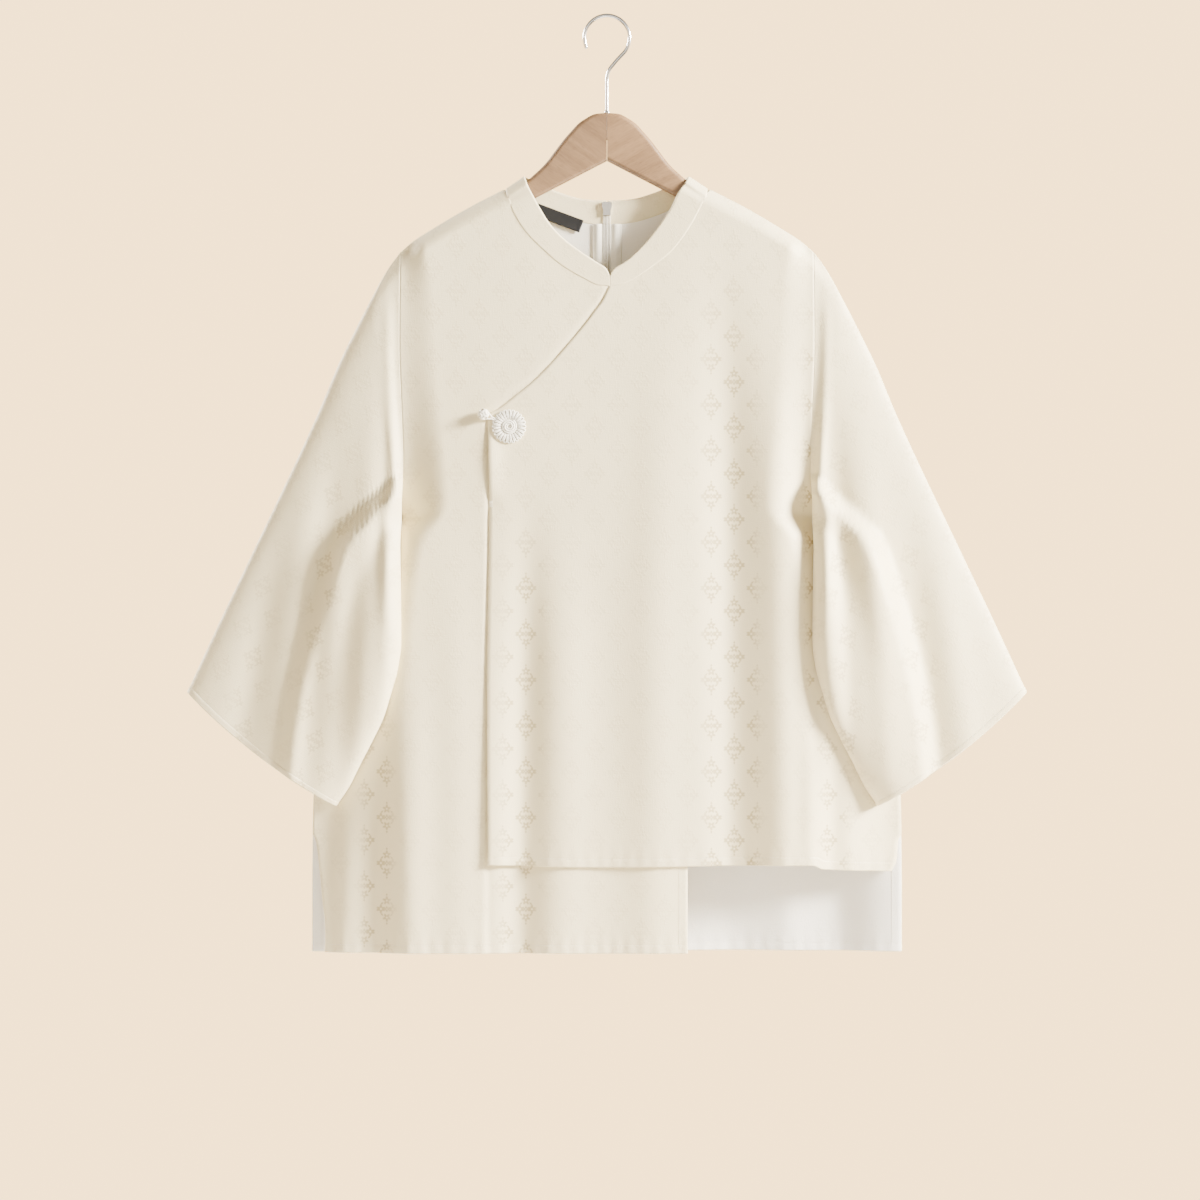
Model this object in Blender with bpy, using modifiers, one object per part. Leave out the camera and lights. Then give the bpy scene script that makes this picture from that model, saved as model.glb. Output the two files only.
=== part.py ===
"""A cross-over tunic top with three-quarter sleeves, hanging on a wooden hanger.

Metres, +Z up. The front faces -Y and +X is the viewer's right, so left and right here are the
viewer's. The origin is the inside top of the hanger's hook. Cloth pieces are worked out in the
XZ plane from the garment's seams, and a half-depth gives how far each wall stands from the
centre plane.
"""

import math

import bmesh
import bpy
import numpy as np

LEFT, RIGHT = -1, 1


def table(columns, *rows):
    """A short table: one array for each named column."""
    return dict(zip(columns.split(), np.array(rows, float).T))


# Cloth and seams.
WALL = 0.0012
BAND_WALL = 0.0018
SEAM = 0.0003
EDGE = (WALL + SEAM) / 2
BORDER = 0.0006
NECK_BORDER = 0.0009
BACK_SEAM_X = SEAM / 2 + 0.0001
LAYER_AT_SEAM = WALL + 3 * SEAM
LAYER = 0.0028
UNDER_STEP_BEFORE, UNDER_STEP_WIDTH = 0.030, 0.016
UNDER_MORE_AFTER, UNDER_MORE_WIDTH = 0.002, 0.020
FACET = 0.0010

# The garment's seams, for one side. The other side mirrors them.
HEM_Z = -0.8590
SHOULDER = table(
    "x z",
    (0.0950, -0.1588),
    (0.1195, -0.1713),
    (0.1415, -0.1835),
    (0.1605, -0.1950),
    (0.1785, -0.2065),
    (0.1900, -0.2165),
)
ARMHOLE = table(
    "x z",
    (0.1900, -0.2165),
    (0.1905, -0.3000),
    (0.1885, -0.3600),
    (0.1870, -0.4100),
    (0.1890, -0.4450),
    (0.1930, -0.4580),
)
SIDE = table(
    "x z",
    (0.1930, -0.4580),
    (0.2130, -0.4800),
    (0.2300, -0.5200),
    (0.2490, -0.5800),
    (0.2620, -0.6400),
    (0.2690, -0.7000),
    (0.2705, -0.7520),
)
BACK_SLIT = table("x z", (0.2705, -0.7520), (0.2710, -0.8000), (0.2710, HEM_Z))
FRONT_SLIT = table(
    "x z",
    (0.2705, -0.7520),
    (0.2677, -0.7560),
    (0.2650, -0.7750),
    (0.2618, -0.8070),
    (0.2585, -0.8410),
    (0.2590, HEM_Z),
)

# The upper front: its slanted seam from the neck, its free edge, and its own higher hem.
SLANT = table(
    "x z",
    (0.0032, -0.2488),
    (-0.0046, -0.2620),
    (-0.0120, -0.2720),
    (-0.0166, -0.2784),
    (-0.0653, -0.3336),
    (-0.0865, -0.3510),
    (-0.0957, -0.3585),
    (-0.1090, -0.3660),
)
FREE_EDGE = table("x z", (-0.1090, -0.3660), (-0.1076, -0.4480), (-0.1094, -0.6200), (-0.1085, -0.7780))
OVER_HEM = table(
    "x z",
    (-0.1085, -0.7780),
    (-0.0060, -0.7800),
    (0.1600, -0.7785),
    (0.1895, -0.7785),
    (0.1960, -0.7820),
    (0.2610, -0.7850),
)
OVER_SLIT = table("x z", (0.2705, -0.7520), (0.2677, -0.7560), (0.2659, -0.7750), (0.2610, -0.7850))
TACK_Z = -0.4480
UNDER_EDGE_X = 0.0734
UNDER_EDGE_TOP_Z = -0.1985
UNDER_EDGE_MARGIN = 0.004
FREE_EDGE_LIFT = 0.0045
FREE_EDGE_LIFT_WIDTH = 0.022

# The collar band: where it meets the neck (seam) and where it ends (top), from the front notch
# round the side of the neck to the zip. share is how far it stands in front of the centre plane
# (below 0) or behind it: 1 is the body's own depth there, or COLLAR_DEPTH beside the neck.
COLLAR_RIGHT = table(
    "seam_x seam_z top_x top_z share",
    (0.0029, -0.2480, 0.0029, -0.2390, -1.00),
    (0.0110, -0.2470, 0.0062, -0.2330, -1.00),
    (0.0240, -0.2415, 0.0190, -0.2245, -1.00),
    (0.0420, -0.2295, 0.0360, -0.2080, -1.00),
    (0.0590, -0.2160, 0.0500, -0.1900, -1.00),
    (0.0750, -0.1950, 0.0590, -0.1765, -1.00),
    (0.0860, -0.1750, 0.0665, -0.1610, -1.00),
    (0.0908, -0.1655, 0.0725, -0.1525, -0.80),
    (0.0922, -0.1583, 0.0752, -0.1470, 0.00),
    (0.0890, -0.1605, 0.0722, -0.1484, 0.78),
    (0.0800, -0.1655, 0.0655, -0.1515, 1.00),
    (0.0660, -0.1725, 0.0545, -0.1565, 1.00),
    (0.0495, -0.1800, 0.0420, -0.1615, 1.00),
    (0.0280, -0.1870, 0.0250, -0.1665, 1.00),
    (0.0125, -0.1893, 0.0120, -0.1680, 1.00),
    (0.0011, -0.1900, 0.0011, -0.1683, 1.00),
)
COLLAR_LEFT = table(
    "seam_x seam_z top_x top_z share",
    (0.0025, -0.2480, 0.0025, -0.2390, -1.00),
    (-0.0080, -0.2470, -0.0008, -0.2325, -1.00),
    (-0.0220, -0.2405, -0.0110, -0.2255, -1.00),
    (-0.0400, -0.2300, -0.0260, -0.2155, -1.00),
    (-0.0580, -0.2150, -0.0430, -0.2020, -1.00),
    (-0.0750, -0.1975, -0.0545, -0.1885, -1.00),
    (-0.0865, -0.1790, -0.0650, -0.1710, -1.00),
    (-0.0912, -0.1665, -0.0735, -0.1545, -0.80),
    (-0.0926, -0.1583, -0.0760, -0.1470, 0.00),
    (-0.0890, -0.1605, -0.0722, -0.1484, 0.78),
    (-0.0800, -0.1655, -0.0655, -0.1515, 1.00),
    (-0.0660, -0.1725, -0.0545, -0.1565, 1.00),
    (-0.0495, -0.1800, -0.0420, -0.1615, 1.00),
    (-0.0280, -0.1870, -0.0250, -0.1665, 1.00),
    (-0.0125, -0.1893, -0.0120, -0.1680, 1.00),
    (-0.0011, -0.1900, -0.0011, -0.1683, 1.00),
)
FRONT_ROWS, BACK_ROWS = slice(0, 9), slice(8, None)
COLLAR_DEPTH = 0.0096
COLLAR_COLUMNS = 30

# Half-depths of the body at its middle, and how far from the side seam the wall turns in.
DEPTH = table(
    "z front back turn",
    (-0.1400, 0.0095, 0.0088, 0.020),
    (-0.2000, 0.0100, 0.0092, 0.022),
    (-0.2500, 0.0118, 0.0100, 0.030),
    (-0.3500, 0.0160, 0.0130, 0.035),
    (-0.4580, 0.0200, 0.0150, 0.045),
    (-0.6000, 0.0230, 0.0165, 0.075),
    (-0.7520, 0.0245, 0.0170, 0.090),
    (HEM_Z, 0.0250, 0.0175, 0.100),
)
ARMHOLE_DEPTH = 0.0110
ROOF = 0.0150
SHOULDER_COSINE = math.cos(math.radians(30))
SLIT_SPREAD = {"front": 0.0060, "back": 0.0010}

# Soft folds: each centre line, how wide it is, and how far it stands out (or in, below 0).
FRONT_FOLDS = table(
    "x_top z_top x_bottom z_bottom width height",
    (-0.0720, -0.400, -0.0660, -0.950, 0.018, -0.0030),
    (-0.0360, -0.420, -0.0240, -0.950, 0.024, 0.0026),
    (0.0480, -0.380, 0.0420, -0.950, 0.026, 0.0020),
    (0.1080, -0.200, 0.1180, -0.950, 0.024, -0.0036),
    (0.1560, -0.300, 0.1620, -0.950, 0.020, 0.0030),
    (0.1895, -0.580, 0.1900, -0.950, 0.009, 0.0038),
    (0.2060, -0.620, 0.2080, -0.950, 0.011, -0.0040),
    (-0.1400, -0.420, -0.1360, -0.950, 0.020, 0.0018),
    (-0.1760, -0.520, -0.1800, -0.950, 0.018, 0.0030),
    (-0.2060, -0.600, -0.2130, -0.950, 0.016, -0.0042),
    (-0.2380, -0.680, -0.2420, -0.950, 0.013, 0.0034),
)
BACK_FOLDS = table(
    "x_top z_top x_bottom z_bottom width height",
    (-0.1950, -0.560, -0.2120, -0.950, 0.018, 0.0040),
    (-0.1600, -0.440, -0.1700, -0.950, 0.020, -0.0032),
    (-0.1050, -0.360, -0.1120, -0.950, 0.024, 0.0034),
    (-0.0520, -0.480, -0.0600, -0.950, 0.020, -0.0024),
    (0.0540, -0.400, 0.0600, -0.950, 0.024, -0.0028),
    (0.1000, -0.340, 0.1180, -0.950, 0.022, 0.0036),
    (0.1580, -0.500, 0.1720, -0.950, 0.020, -0.0036),
    (0.2020, -0.580, 0.2240, -0.950, 0.017, 0.0042),
)
SLEEVE_FOLDS = {
    LEFT: table(
        "x_top z_top x_bottom z_bottom width height",
        (0.2450, -0.340, 0.2820, -0.780, 0.014, -0.0030),
        (0.2700, -0.400, 0.3160, -0.780, 0.016, 0.0028),
        (0.2120, -0.300, 0.2300, -0.780, 0.012, 0.0024),
        (0.3000, -0.460, 0.3560, -0.780, 0.014, -0.0022),
    ),
    RIGHT: table(
        "x_top z_top x_bottom z_bottom width height",
        (0.2080, -0.330, 0.2260, -0.780, 0.010, -0.0032),
        (0.2320, -0.340, 0.2600, -0.780, 0.015, 0.0028),
        (0.2700, -0.400, 0.3060, -0.780, 0.016, -0.0024),
        (0.2980, -0.440, 0.3460, -0.780, 0.016, 0.0024),
    ),
}
SLEEVE_BACK_FOLDS = table(
    "x_top z_top x_bottom z_bottom width height",
    (0.2300, -0.320, 0.2680, -0.780, 0.016, 0.0026),
    (0.2720, -0.380, 0.3160, -0.780, 0.016, -0.0024),
)
FOLD_MARGIN = 0.030

# The sleeve's upper edge, and its under edge, which hangs in front of the body.
SLEEVE_TOP = table(
    "x z",
    (0.1906, -0.2163),
    (0.2015, -0.2315),
    (0.2155, -0.2570),
    (0.2310, -0.2875),
    (0.2470, -0.3205),
    (0.2660, -0.3660),
    (0.3285, -0.4990),
    (0.3550, -0.5545),
    (0.3855, -0.6205),
)
SLEEVE_UNDER = table(
    "x z",
    (0.1974, -0.4542),
    (0.1918, -0.4740),
    (0.1892, -0.5200),
    (0.1885, -0.5740),
    (0.1912, -0.5970),
    (0.1970, -0.6190),
    (0.2045, -0.6430),
    (0.2145, -0.6640),
    (0.2260, -0.6860),
    (0.2360, -0.7060),
    (0.2485, -0.7245),
)
SLEEVE_RINGS = (
    0.0, 0.03, 0.06, 0.09, 0.13, 0.18, 0.25, 0.33, 0.42, 0.51, 0.61, 0.71, 0.80, 0.88, 0.95, 1.0
)
SLEEVE_SIDES = 28
SLEEVE_HALF_DEPTH = table("along depth", (0.0, 0.0110), (0.3, 0.0120), (0.7, 0.0125), (1.0, 0.0125))
SLEEVE_CENTRE_Y = -0.0020
SLEEVE_JOIN = 0.12
SLEEVE_CLEAR = 0.0038
SLEEVE_MARGIN = 0.020
SLEEVE_DROP = 0.0066
SLEEVE_DROP_FROM, SLEEVE_DROP_FULL = 0.72, 0.92
SLEEVE_RISE = 0.70
CUFF_BULGE = 0.0065
CUFF_AXIS = np.array((0.605, -0.797))

# The zip in the back seam, seen from inside at the neck.
ZIP_BOTTOM_Z = -0.4700
ZIP_COIL_HALF = 0.0032
ZIP_COIL_THICK = 0.0014
ZIP_TAPE = (0.0036, 0.0132)
ZIP_TAPE_THICK = 0.0008
SLIDER_TOP_Z, SLIDER_BOTTOM_Z = -0.1690, -0.1815
SLIDER_OUTLINE = table(
    "x z",
    (0.0030, 0.0000),
    (0.0046, -0.0012),
    (0.0046, -0.0042),
    (0.0034, -0.0078),
    (0.0034, -0.0125),
)
SLIDER_THICK = 0.0026
SLIDER_NECK_HALF = 0.0006
SLIDER_PAD_HALF = 0.0018
SLIDER_PAD_THICK = 0.0008
PULL_Z = -0.1748
PULL_THICK = 0.0010
PULL_REACH = 0.0018
BRIDGE_RADIUS = 0.0005
BRIDGE_ANGLE = math.radians(118)
PULL_OUTLINE = table(
    "x z",
    (0.0022, 0.0006),
    (0.0022, -0.0036),
    (0.0028, -0.0080),
    (0.0031, -0.0150),
    (0.0028, -0.0185),
    (0.0016, -0.0203),
)
PULL_WINDOW = (0.0012, -0.0005, -0.0031)

# The label inside the back neck, by its lower right corner.
LABEL_TOP_RIGHT = np.array((-0.0218, -0.1862))
LABEL_LENGTH, LABEL_HEIGHT, LABEL_THICK = 0.0580, 0.0115, 0.0008
LABEL_TILT = math.radians(20.5)

# The frog: a flower coiled from cord, a knot button and the loop between them.
FLOWER_CENTRE = np.array((-0.0898, -0.3770))
FLOWER_PETALS = 24
FLOWER_PROFILE = table(
    "radius height petal",
    (0.0020, 0.0024, 0.00),
    (0.0045, 0.0032, 0.00),
    (0.0070, 0.0024, 0.00),
    (0.0085, 0.0014, 0.20),
    (0.0115, 0.0026, 0.55),
    (0.0148, 0.0022, 0.60),
    (0.0160, 0.0008, 0.60),
)
FLOWER_DIMPLE = 0.0012
FLOWER_SAMPLES = 3
PETAL_NOTCH = 0.0007
BALL_CENTRE = np.array((-0.1130, -0.3660))
BALL_RADIUS = 0.0050
LOOP_RADIUS = 0.0013

# The hanger: half of its outline, in beech, and a wire hook.
ARM_OUTLINE = table(
    "x z",
    (0.0100, -0.0887),
    (0.0210, -0.0940),
    (0.0260, -0.0975),
    (0.0340, -0.1060),
    (0.0385, -0.1110),
    (0.0485, -0.1240),
    (0.0570, -0.1350),
    (0.0730, -0.1500),
    (0.0850, -0.1600),
)
ARM_TOP_Z = -0.0880
ARM_UNDER_Z = -0.1323
ARM_UNDER_SLOPE = 0.52
ARM_UNDER_RUN = (0.150, 0.030)
ARM_BELOW_SHOULDER = 0.0074
ARM_PARALLEL = (0.0960, 0.1710)
ARM_END = table("x z", (0.1755, -0.2150), (0.1765, -0.2185), (0.1745, -0.2222), (0.1700, -0.2208))
ARM_HALF_THICK = 0.0049
ARM_ROUND = 0.0042
ARM_Y = -0.0004
WIRE_RADIUS = 0.00175
HOOK_INSIDE = 0.0190
HOOK_FOOT_Z = -0.1120
BORE_RADIUS = 0.0022
HOOK_END_DEGREES = 205

CLOTH = ("cloth", (0.86, 0.82, 0.72), 0.55, 0.0)
LABEL = ("label", (0.012, 0.012, 0.014), 0.45, 0.0)
TAPE = ("zip_tape", (0.84, 0.80, 0.70), 0.70, 0.0)
CORD = ("cord", (0.84, 0.80, 0.68), 0.50, 0.0)
STEEL = ("steel", (0.62, 0.62, 0.63), 0.25, 1.0)
BEECH = ("beech", (0.60, 0.43, 0.29), 0.45, 0.0)


def fit(rows, key, value, at):
    """One column of a table as a smooth curve over another, held past its ends, with no overshoot."""
    known, values = rows[key], rows[value]
    if known[0] > known[-1]:
        known, values = known[::-1], values[::-1]
    return monotone(known, values, at)


def monotone(known, values, at):
    steps = np.diff(known)
    slopes = np.diff(values) / steps
    tangents = np.concatenate([slopes[:1], np.zeros(len(slopes) - 1), slopes[-1:]])
    before, after = slopes[:-1], slopes[1:]
    agree = before * after > 0
    tangents[1:-1][agree] = 2 * before[agree] * after[agree] / (before + after)[agree]
    at = np.clip(at, known[0], known[-1])
    i = np.clip(np.searchsorted(known, at) - 1, 0, len(steps) - 1)
    t = (at - known[i]) / steps[i]
    start = (1 + 2 * t) * (1 - t) ** 2 * values[i] + t * (1 - t) ** 2 * steps[i] * tangents[i]
    end = t**2 * (3 - 2 * t) * values[i + 1] - t**2 * (1 - t) * steps[i] * tangents[i + 1]
    return start + end


def rounded(share):
    """0 to 1 with a steep start and a level end, as cloth turns over an edge."""
    share = np.clip(share, 0, 1)
    return 1 - (1 - share) ** 2


def eased(share):
    share = np.clip(share, 0, 1)
    return share * share * (3 - 2 * share)


def points_of(rows, side=RIGHT):
    """A table's x and z as points, mirrored for the left."""
    return np.stack([side * rows["x"], rows["z"]], axis=1)


def along(points, shares):
    """Points at these shares of the length of a smooth curve through the given ones."""
    points = np.asarray(points, float)
    chord = np.concatenate([[0], np.cumsum(np.linalg.norm(np.diff(points, axis=0), axis=1))])
    fine = np.linspace(0, chord[-1], 20 * len(points))
    curve = np.stack([monotone(chord, column, fine) for column in points.T], axis=1)
    length = np.concatenate([[0], np.cumsum(np.linalg.norm(np.diff(curve, axis=0), axis=1))])
    wanted = np.asarray(shares) * length[-1]
    return np.stack([np.interp(wanted, length, column) for column in curve.T], axis=1)


def joined(*stretches):
    """Stretches of points end to end, each meeting the next in one shared point."""
    return np.concatenate([stretches[0]] + [stretch[1:] for stretch in stretches[1:]])


def even(count):
    return np.linspace(0, 1, count + 1)


def shoulder_z(x):
    """The shoulder line, carried on upwards at its own slope where the neck opens."""
    first, second = SHOULDER["z"][:2]
    slope = (first - second) / (SHOULDER["x"][1] - SHOULDER["x"][0])
    return fit(SHOULDER, "x", "z", x) + slope * np.clip(SHOULDER["x"][0] - x, 0, None)


def outline_x(z):
    """Half the body's width at a height: the armhole, then the side seam."""
    x = np.concatenate([ARMHOLE["x"], SIDE["x"][1:], BACK_SLIT["x"][1:]])
    down = -np.concatenate([ARMHOLE["z"], SIDE["z"][1:], BACK_SLIT["z"][1:]])
    return monotone(down, x, -np.asarray(z, float))


def edge_depth(z, face):
    """Half the depth at the body's own edge: open at the armhole, closed at the side seam, and
    spread again at the slit."""
    z = np.asarray(z, float)
    top, under, slit = ARMHOLE["z"][0], ARMHOLE["z"][-1], SIDE["z"][-1]
    share = np.clip((top - z) / (top - under), 0, 1)
    armhole = 2 * ARMHOLE_DEPTH * np.sqrt(share * (1 - share))
    spread = SLIT_SPREAD[face] * np.clip((slit - z) / (slit - HEM_Z), 0, 1)
    return np.maximum(EDGE, armhole) + spread


def fold_height(folds, x, z):
    """The sum of the folds at a point; each swells slowly from its top end."""
    total = np.zeros(np.broadcast(x, z).shape)
    for top_x, top_z, bottom_x, bottom_z, width, height in zip(*folds.values()):
        share = (top_z - z) / (top_z - bottom_z)
        centre = top_x + (bottom_x - top_x) * share
        total += height * eased(2.5 * share) * np.exp(-(((x - centre) / width) ** 2))
    return total


def half_depth(x, z, face):
    """How far the middle of the front or back wall stands from the centre plane."""
    x, z = np.asarray(x, float), np.asarray(z, float)
    inside = outline_x(z) - abs(x)
    turn = eased(inside / fit(DEPTH, "z", "turn", z))
    edge = edge_depth(z, face)
    open_depth = edge + (fit(DEPTH, "z", face, z) - edge) * turn
    below = (shoulder_z(abs(x)) - z) * SHOULDER_COSINE
    folds = FRONT_FOLDS if face == "front" else BACK_FOLDS
    fold = fold_height(folds, x, z) * eased(inside / FOLD_MARGIN) * eased(below / FOLD_MARGIN)
    return EDGE + (open_depth - EDGE) * rounded(below / ROOF) + fold


def free_edge_x(z):
    """The left edge of the upper front at a height."""
    x = np.concatenate([SLANT["x"], FREE_EDGE["x"][1:]])
    down = -np.concatenate([SLANT["z"], FREE_EDGE["z"][1:]])
    return monotone(down, x, -np.asarray(z, float))


def over_y(x, z):
    """The upper front; its free edge stands off more and more below the tack."""
    hang = eased((TACK_Z - z) / (TACK_Z - HEM_Z))
    near = np.exp(-(((x - free_edge_x(z)) / FREE_EDGE_LIFT_WIDTH) ** 2))
    return -half_depth(x, z, "front") - FREE_EDGE_LIFT * hang * near


def under_y(x, z):
    """The under front, which steps back behind the upper one."""
    past = x - free_edge_x(z)
    step = LAYER_AT_SEAM * eased((past + UNDER_STEP_BEFORE) / UNDER_STEP_WIDTH)
    more = (LAYER - LAYER_AT_SEAM) * eased((past - UNDER_MORE_AFTER) / UNDER_MORE_WIDTH)
    return -half_depth(x, z, "front") + step + more


def back_y(x, z):
    return half_depth(x, z, "back")


def new_material(finish):
    name, colour, roughness, metallic = finish
    material = bpy.data.materials.get(name) or bpy.data.materials.new(name)
    material.use_nodes = True
    shader = material.node_tree.nodes["Principled BSDF"]
    shader.inputs["Base Color"].default_value = (*colour, 1)
    shader.inputs["Roughness"].default_value = roughness
    shader.inputs["Metallic"].default_value = metallic
    return material


def clear_scene():
    for obj in list(bpy.data.objects):
        bpy.data.objects.remove(obj, do_unlink=True)


def new_collection(name):
    collection = bpy.data.collections.new(name)
    bpy.context.scene.collection.children.link(collection)
    return collection


def add(name, data, finish, collection):
    obj = bpy.data.objects.new(name, data)
    obj.data.materials.append(new_material(finish))
    collection.objects.link(obj)
    return obj


def as_cutter(obj):
    obj.hide_render = True
    obj.display_type = "WIRE"
    return obj


def mesh_from(bm, name):
    mesh = bpy.data.meshes.new(name)
    bm.to_mesh(mesh)
    bm.free()
    return mesh


def sheet(name, grid, thickness, finish, collection, closed=False):
    """A wall of cloth on a grid of points. A closed one joins its last column to its first."""
    rows, columns = grid.shape[:2]
    bm = bmesh.new()
    corners = [[bm.verts.new(point) for point in row] for row in grid]
    for i in range(rows - 1):
        for j in range(columns if closed else columns - 1):
            k = (j + 1) % columns
            bm.faces.new((corners[i][j], corners[i][k], corners[i + 1][k], corners[i + 1][j]))
    mesh = mesh_from(bm, name)
    mesh.shade_smooth()
    obj = add(name, mesh, finish, collection)
    solidify = obj.modifiers.new("wall", "SOLIDIFY")
    solidify.thickness = thickness
    solidify.offset = 0
    return obj


def coons(top, bottom, left, right, across, down):
    """Points that fill four boundaries; across and down are the shares of its columns and rows."""
    u, v = np.asarray(across)[None, :, None], np.asarray(down)[:, None, None]
    sides = (1 - u) * left[:, None] + u * right[:, None]
    ends = (1 - v) * top[None] + v * bottom[None]
    corners = (1 - u) * (1 - v) * top[0] + u * (1 - v) * top[-1]
    corners = corners + (1 - u) * v * bottom[0] + u * v * bottom[-1]
    return sides + ends - corners


def raised(flat, depth):
    """A grid of XZ points with the y that a depth function gives."""
    x, z = flat[..., 0], flat[..., 1]
    return np.stack([x, depth(x, z), z], axis=-1)


def outward(points, distance):
    """An open line of XZ points moved to its left by a distance."""
    ahead = np.gradient(points, axis=0)
    ahead /= np.linalg.norm(ahead, axis=1)[:, None]
    return points + distance * np.stack([-ahead[:, 1], ahead[:, 0]], axis=1)


def neck_line(band, rows, distance):
    """A panel's neck edge, from the middle of the garment to the shoulder, clear of the band."""
    seam = np.stack([band["seam_x"], band["seam_z"]], axis=1)[rows]
    if rows == BACK_ROWS:
        seam = seam[::-1]
    side = math.copysign(1, seam[-1, 0])
    seam = outward(seam[:-1], -side * distance)
    return np.concatenate([seam, [(side * SHOULDER["x"][0], SHOULDER["z"][0])]])


# Shares of a panel's height: close together where the cloth rolls over the hanger.
UPPER = (0.0, 0.003, 0.008, 0.016, 0.030, 0.055, 0.095, 0.150, 0.215, 0.280, 0.345, 0.410)
LOWER = (0.410, 0.470, 0.530, 0.590, 0.650, 0.715, 0.780, 0.845, 0.900, 0.950, 1.0)
DOWN = UPPER + LOWER[1:]
UPPER_SHARES = np.array(UPPER) / UPPER[-1]
LOWER_SHARES = (np.array(LOWER) - LOWER[0]) / (1 - LOWER[0])
NECK_COLUMNS, SHOULDER_COLUMNS = 9, 8


def shoulder_points(side):
    return along(points_of(SHOULDER, side), even(SHOULDER_COLUMNS))


def side_points(side, slit):
    """The armhole, side seam and slit edge of a panel, top to bottom."""
    below = np.concatenate([points_of(SIDE, side), points_of(slit, side)[1:]])
    return joined(along(points_of(ARMHOLE, side), UPPER_SHARES), along(below, LOWER_SHARES))


def straight_down(corner):
    """An upright edge from a corner to the hem."""
    z = corner[1] + (HEM_Z - corner[1]) * np.array(DOWN)
    return np.stack([np.full(len(DOWN), corner[0]), z], axis=1)


def level_hem(start, end, across):
    """The hem between two upright edges."""
    x = start[-1, 0] + (end[-1, 0] - start[-1, 0]) * across
    return np.stack([x, np.full(len(across), HEM_Z)], axis=1)


def front_over(collection):
    neck = along(neck_line(COLLAR_RIGHT, FRONT_ROWS, NECK_BORDER), even(NECK_COLUMNS))
    top = joined(neck, shoulder_points(RIGHT))
    slant = points_of(SLANT)
    slant[0] = top[0]
    left = joined(along(slant, UPPER_SHARES), along(points_of(FREE_EDGE), LOWER_SHARES))
    right = side_points(RIGHT, OVER_SLIT)
    across = even(len(top) - 1)
    bottom = along(points_of(OVER_HEM), across)
    flat = coons(top, bottom, left, right, across, DOWN)
    return sheet("front_over", raised(flat, over_y), WALL, CLOTH, collection)


def front_under(collection):
    left_neck = along(neck_line(COLLAR_LEFT, FRONT_ROWS, NECK_BORDER), even(NECK_COLUMNS))[::-1]
    right_neck = neck_line(COLLAR_RIGHT, FRONT_ROWS, NECK_BORDER)[1:]
    right_neck = right_neck[right_neck[:, 0] < UNDER_EDGE_X - UNDER_EDGE_MARGIN]
    corner = (UNDER_EDGE_X, UNDER_EDGE_TOP_Z)
    across_neck = along([left_neck[-1], *right_neck, corner], even(5))
    top = joined(shoulder_points(LEFT)[::-1], left_neck, across_neck)
    left = side_points(LEFT, FRONT_SLIT)
    right = straight_down(top[-1])
    across = even(len(top) - 1)
    bottom = level_hem(left, right, across)
    flat = coons(top, bottom, left, right, across, DOWN)
    return sheet("front_under", raised(flat, under_y), WALL, CLOTH, collection)


def back_half(name, side, collection):
    band = COLLAR_RIGHT if side == RIGHT else COLLAR_LEFT
    neck = along(neck_line(band, BACK_ROWS, BORDER), even(5))
    neck[0, 0] = side * BACK_SEAM_X
    top = joined(neck, along(points_of(SHOULDER, side), even(6)))
    outer = side_points(side, BACK_SLIT)
    inner = straight_down(top[0])
    across = even(len(top) - 1)
    bottom = level_hem(inner, outer, across)
    flat = coons(top, bottom, inner, outer, across, DOWN)
    return sheet(name, raised(flat, back_y), WALL, CLOTH, collection)


def body_keeps_clear(x, z):
    """The furthest back that a sleeve wall may lie: in front of the body below the armhole, and
    free again away from the side seam."""
    under = ARMHOLE["z"][-1]
    level = np.minimum(z, under)
    inside = half_depth(np.minimum(x, outline_x(level)), level, "front")
    outside = np.clip(x - outline_x(level), 0, None) + np.clip(z - under, 0, None)
    return -(inside + WALL + SLEEVE_CLEAR) + SLEEVE_RISE * np.clip(outside - SLEEVE_MARGIN, 0, None)


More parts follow.
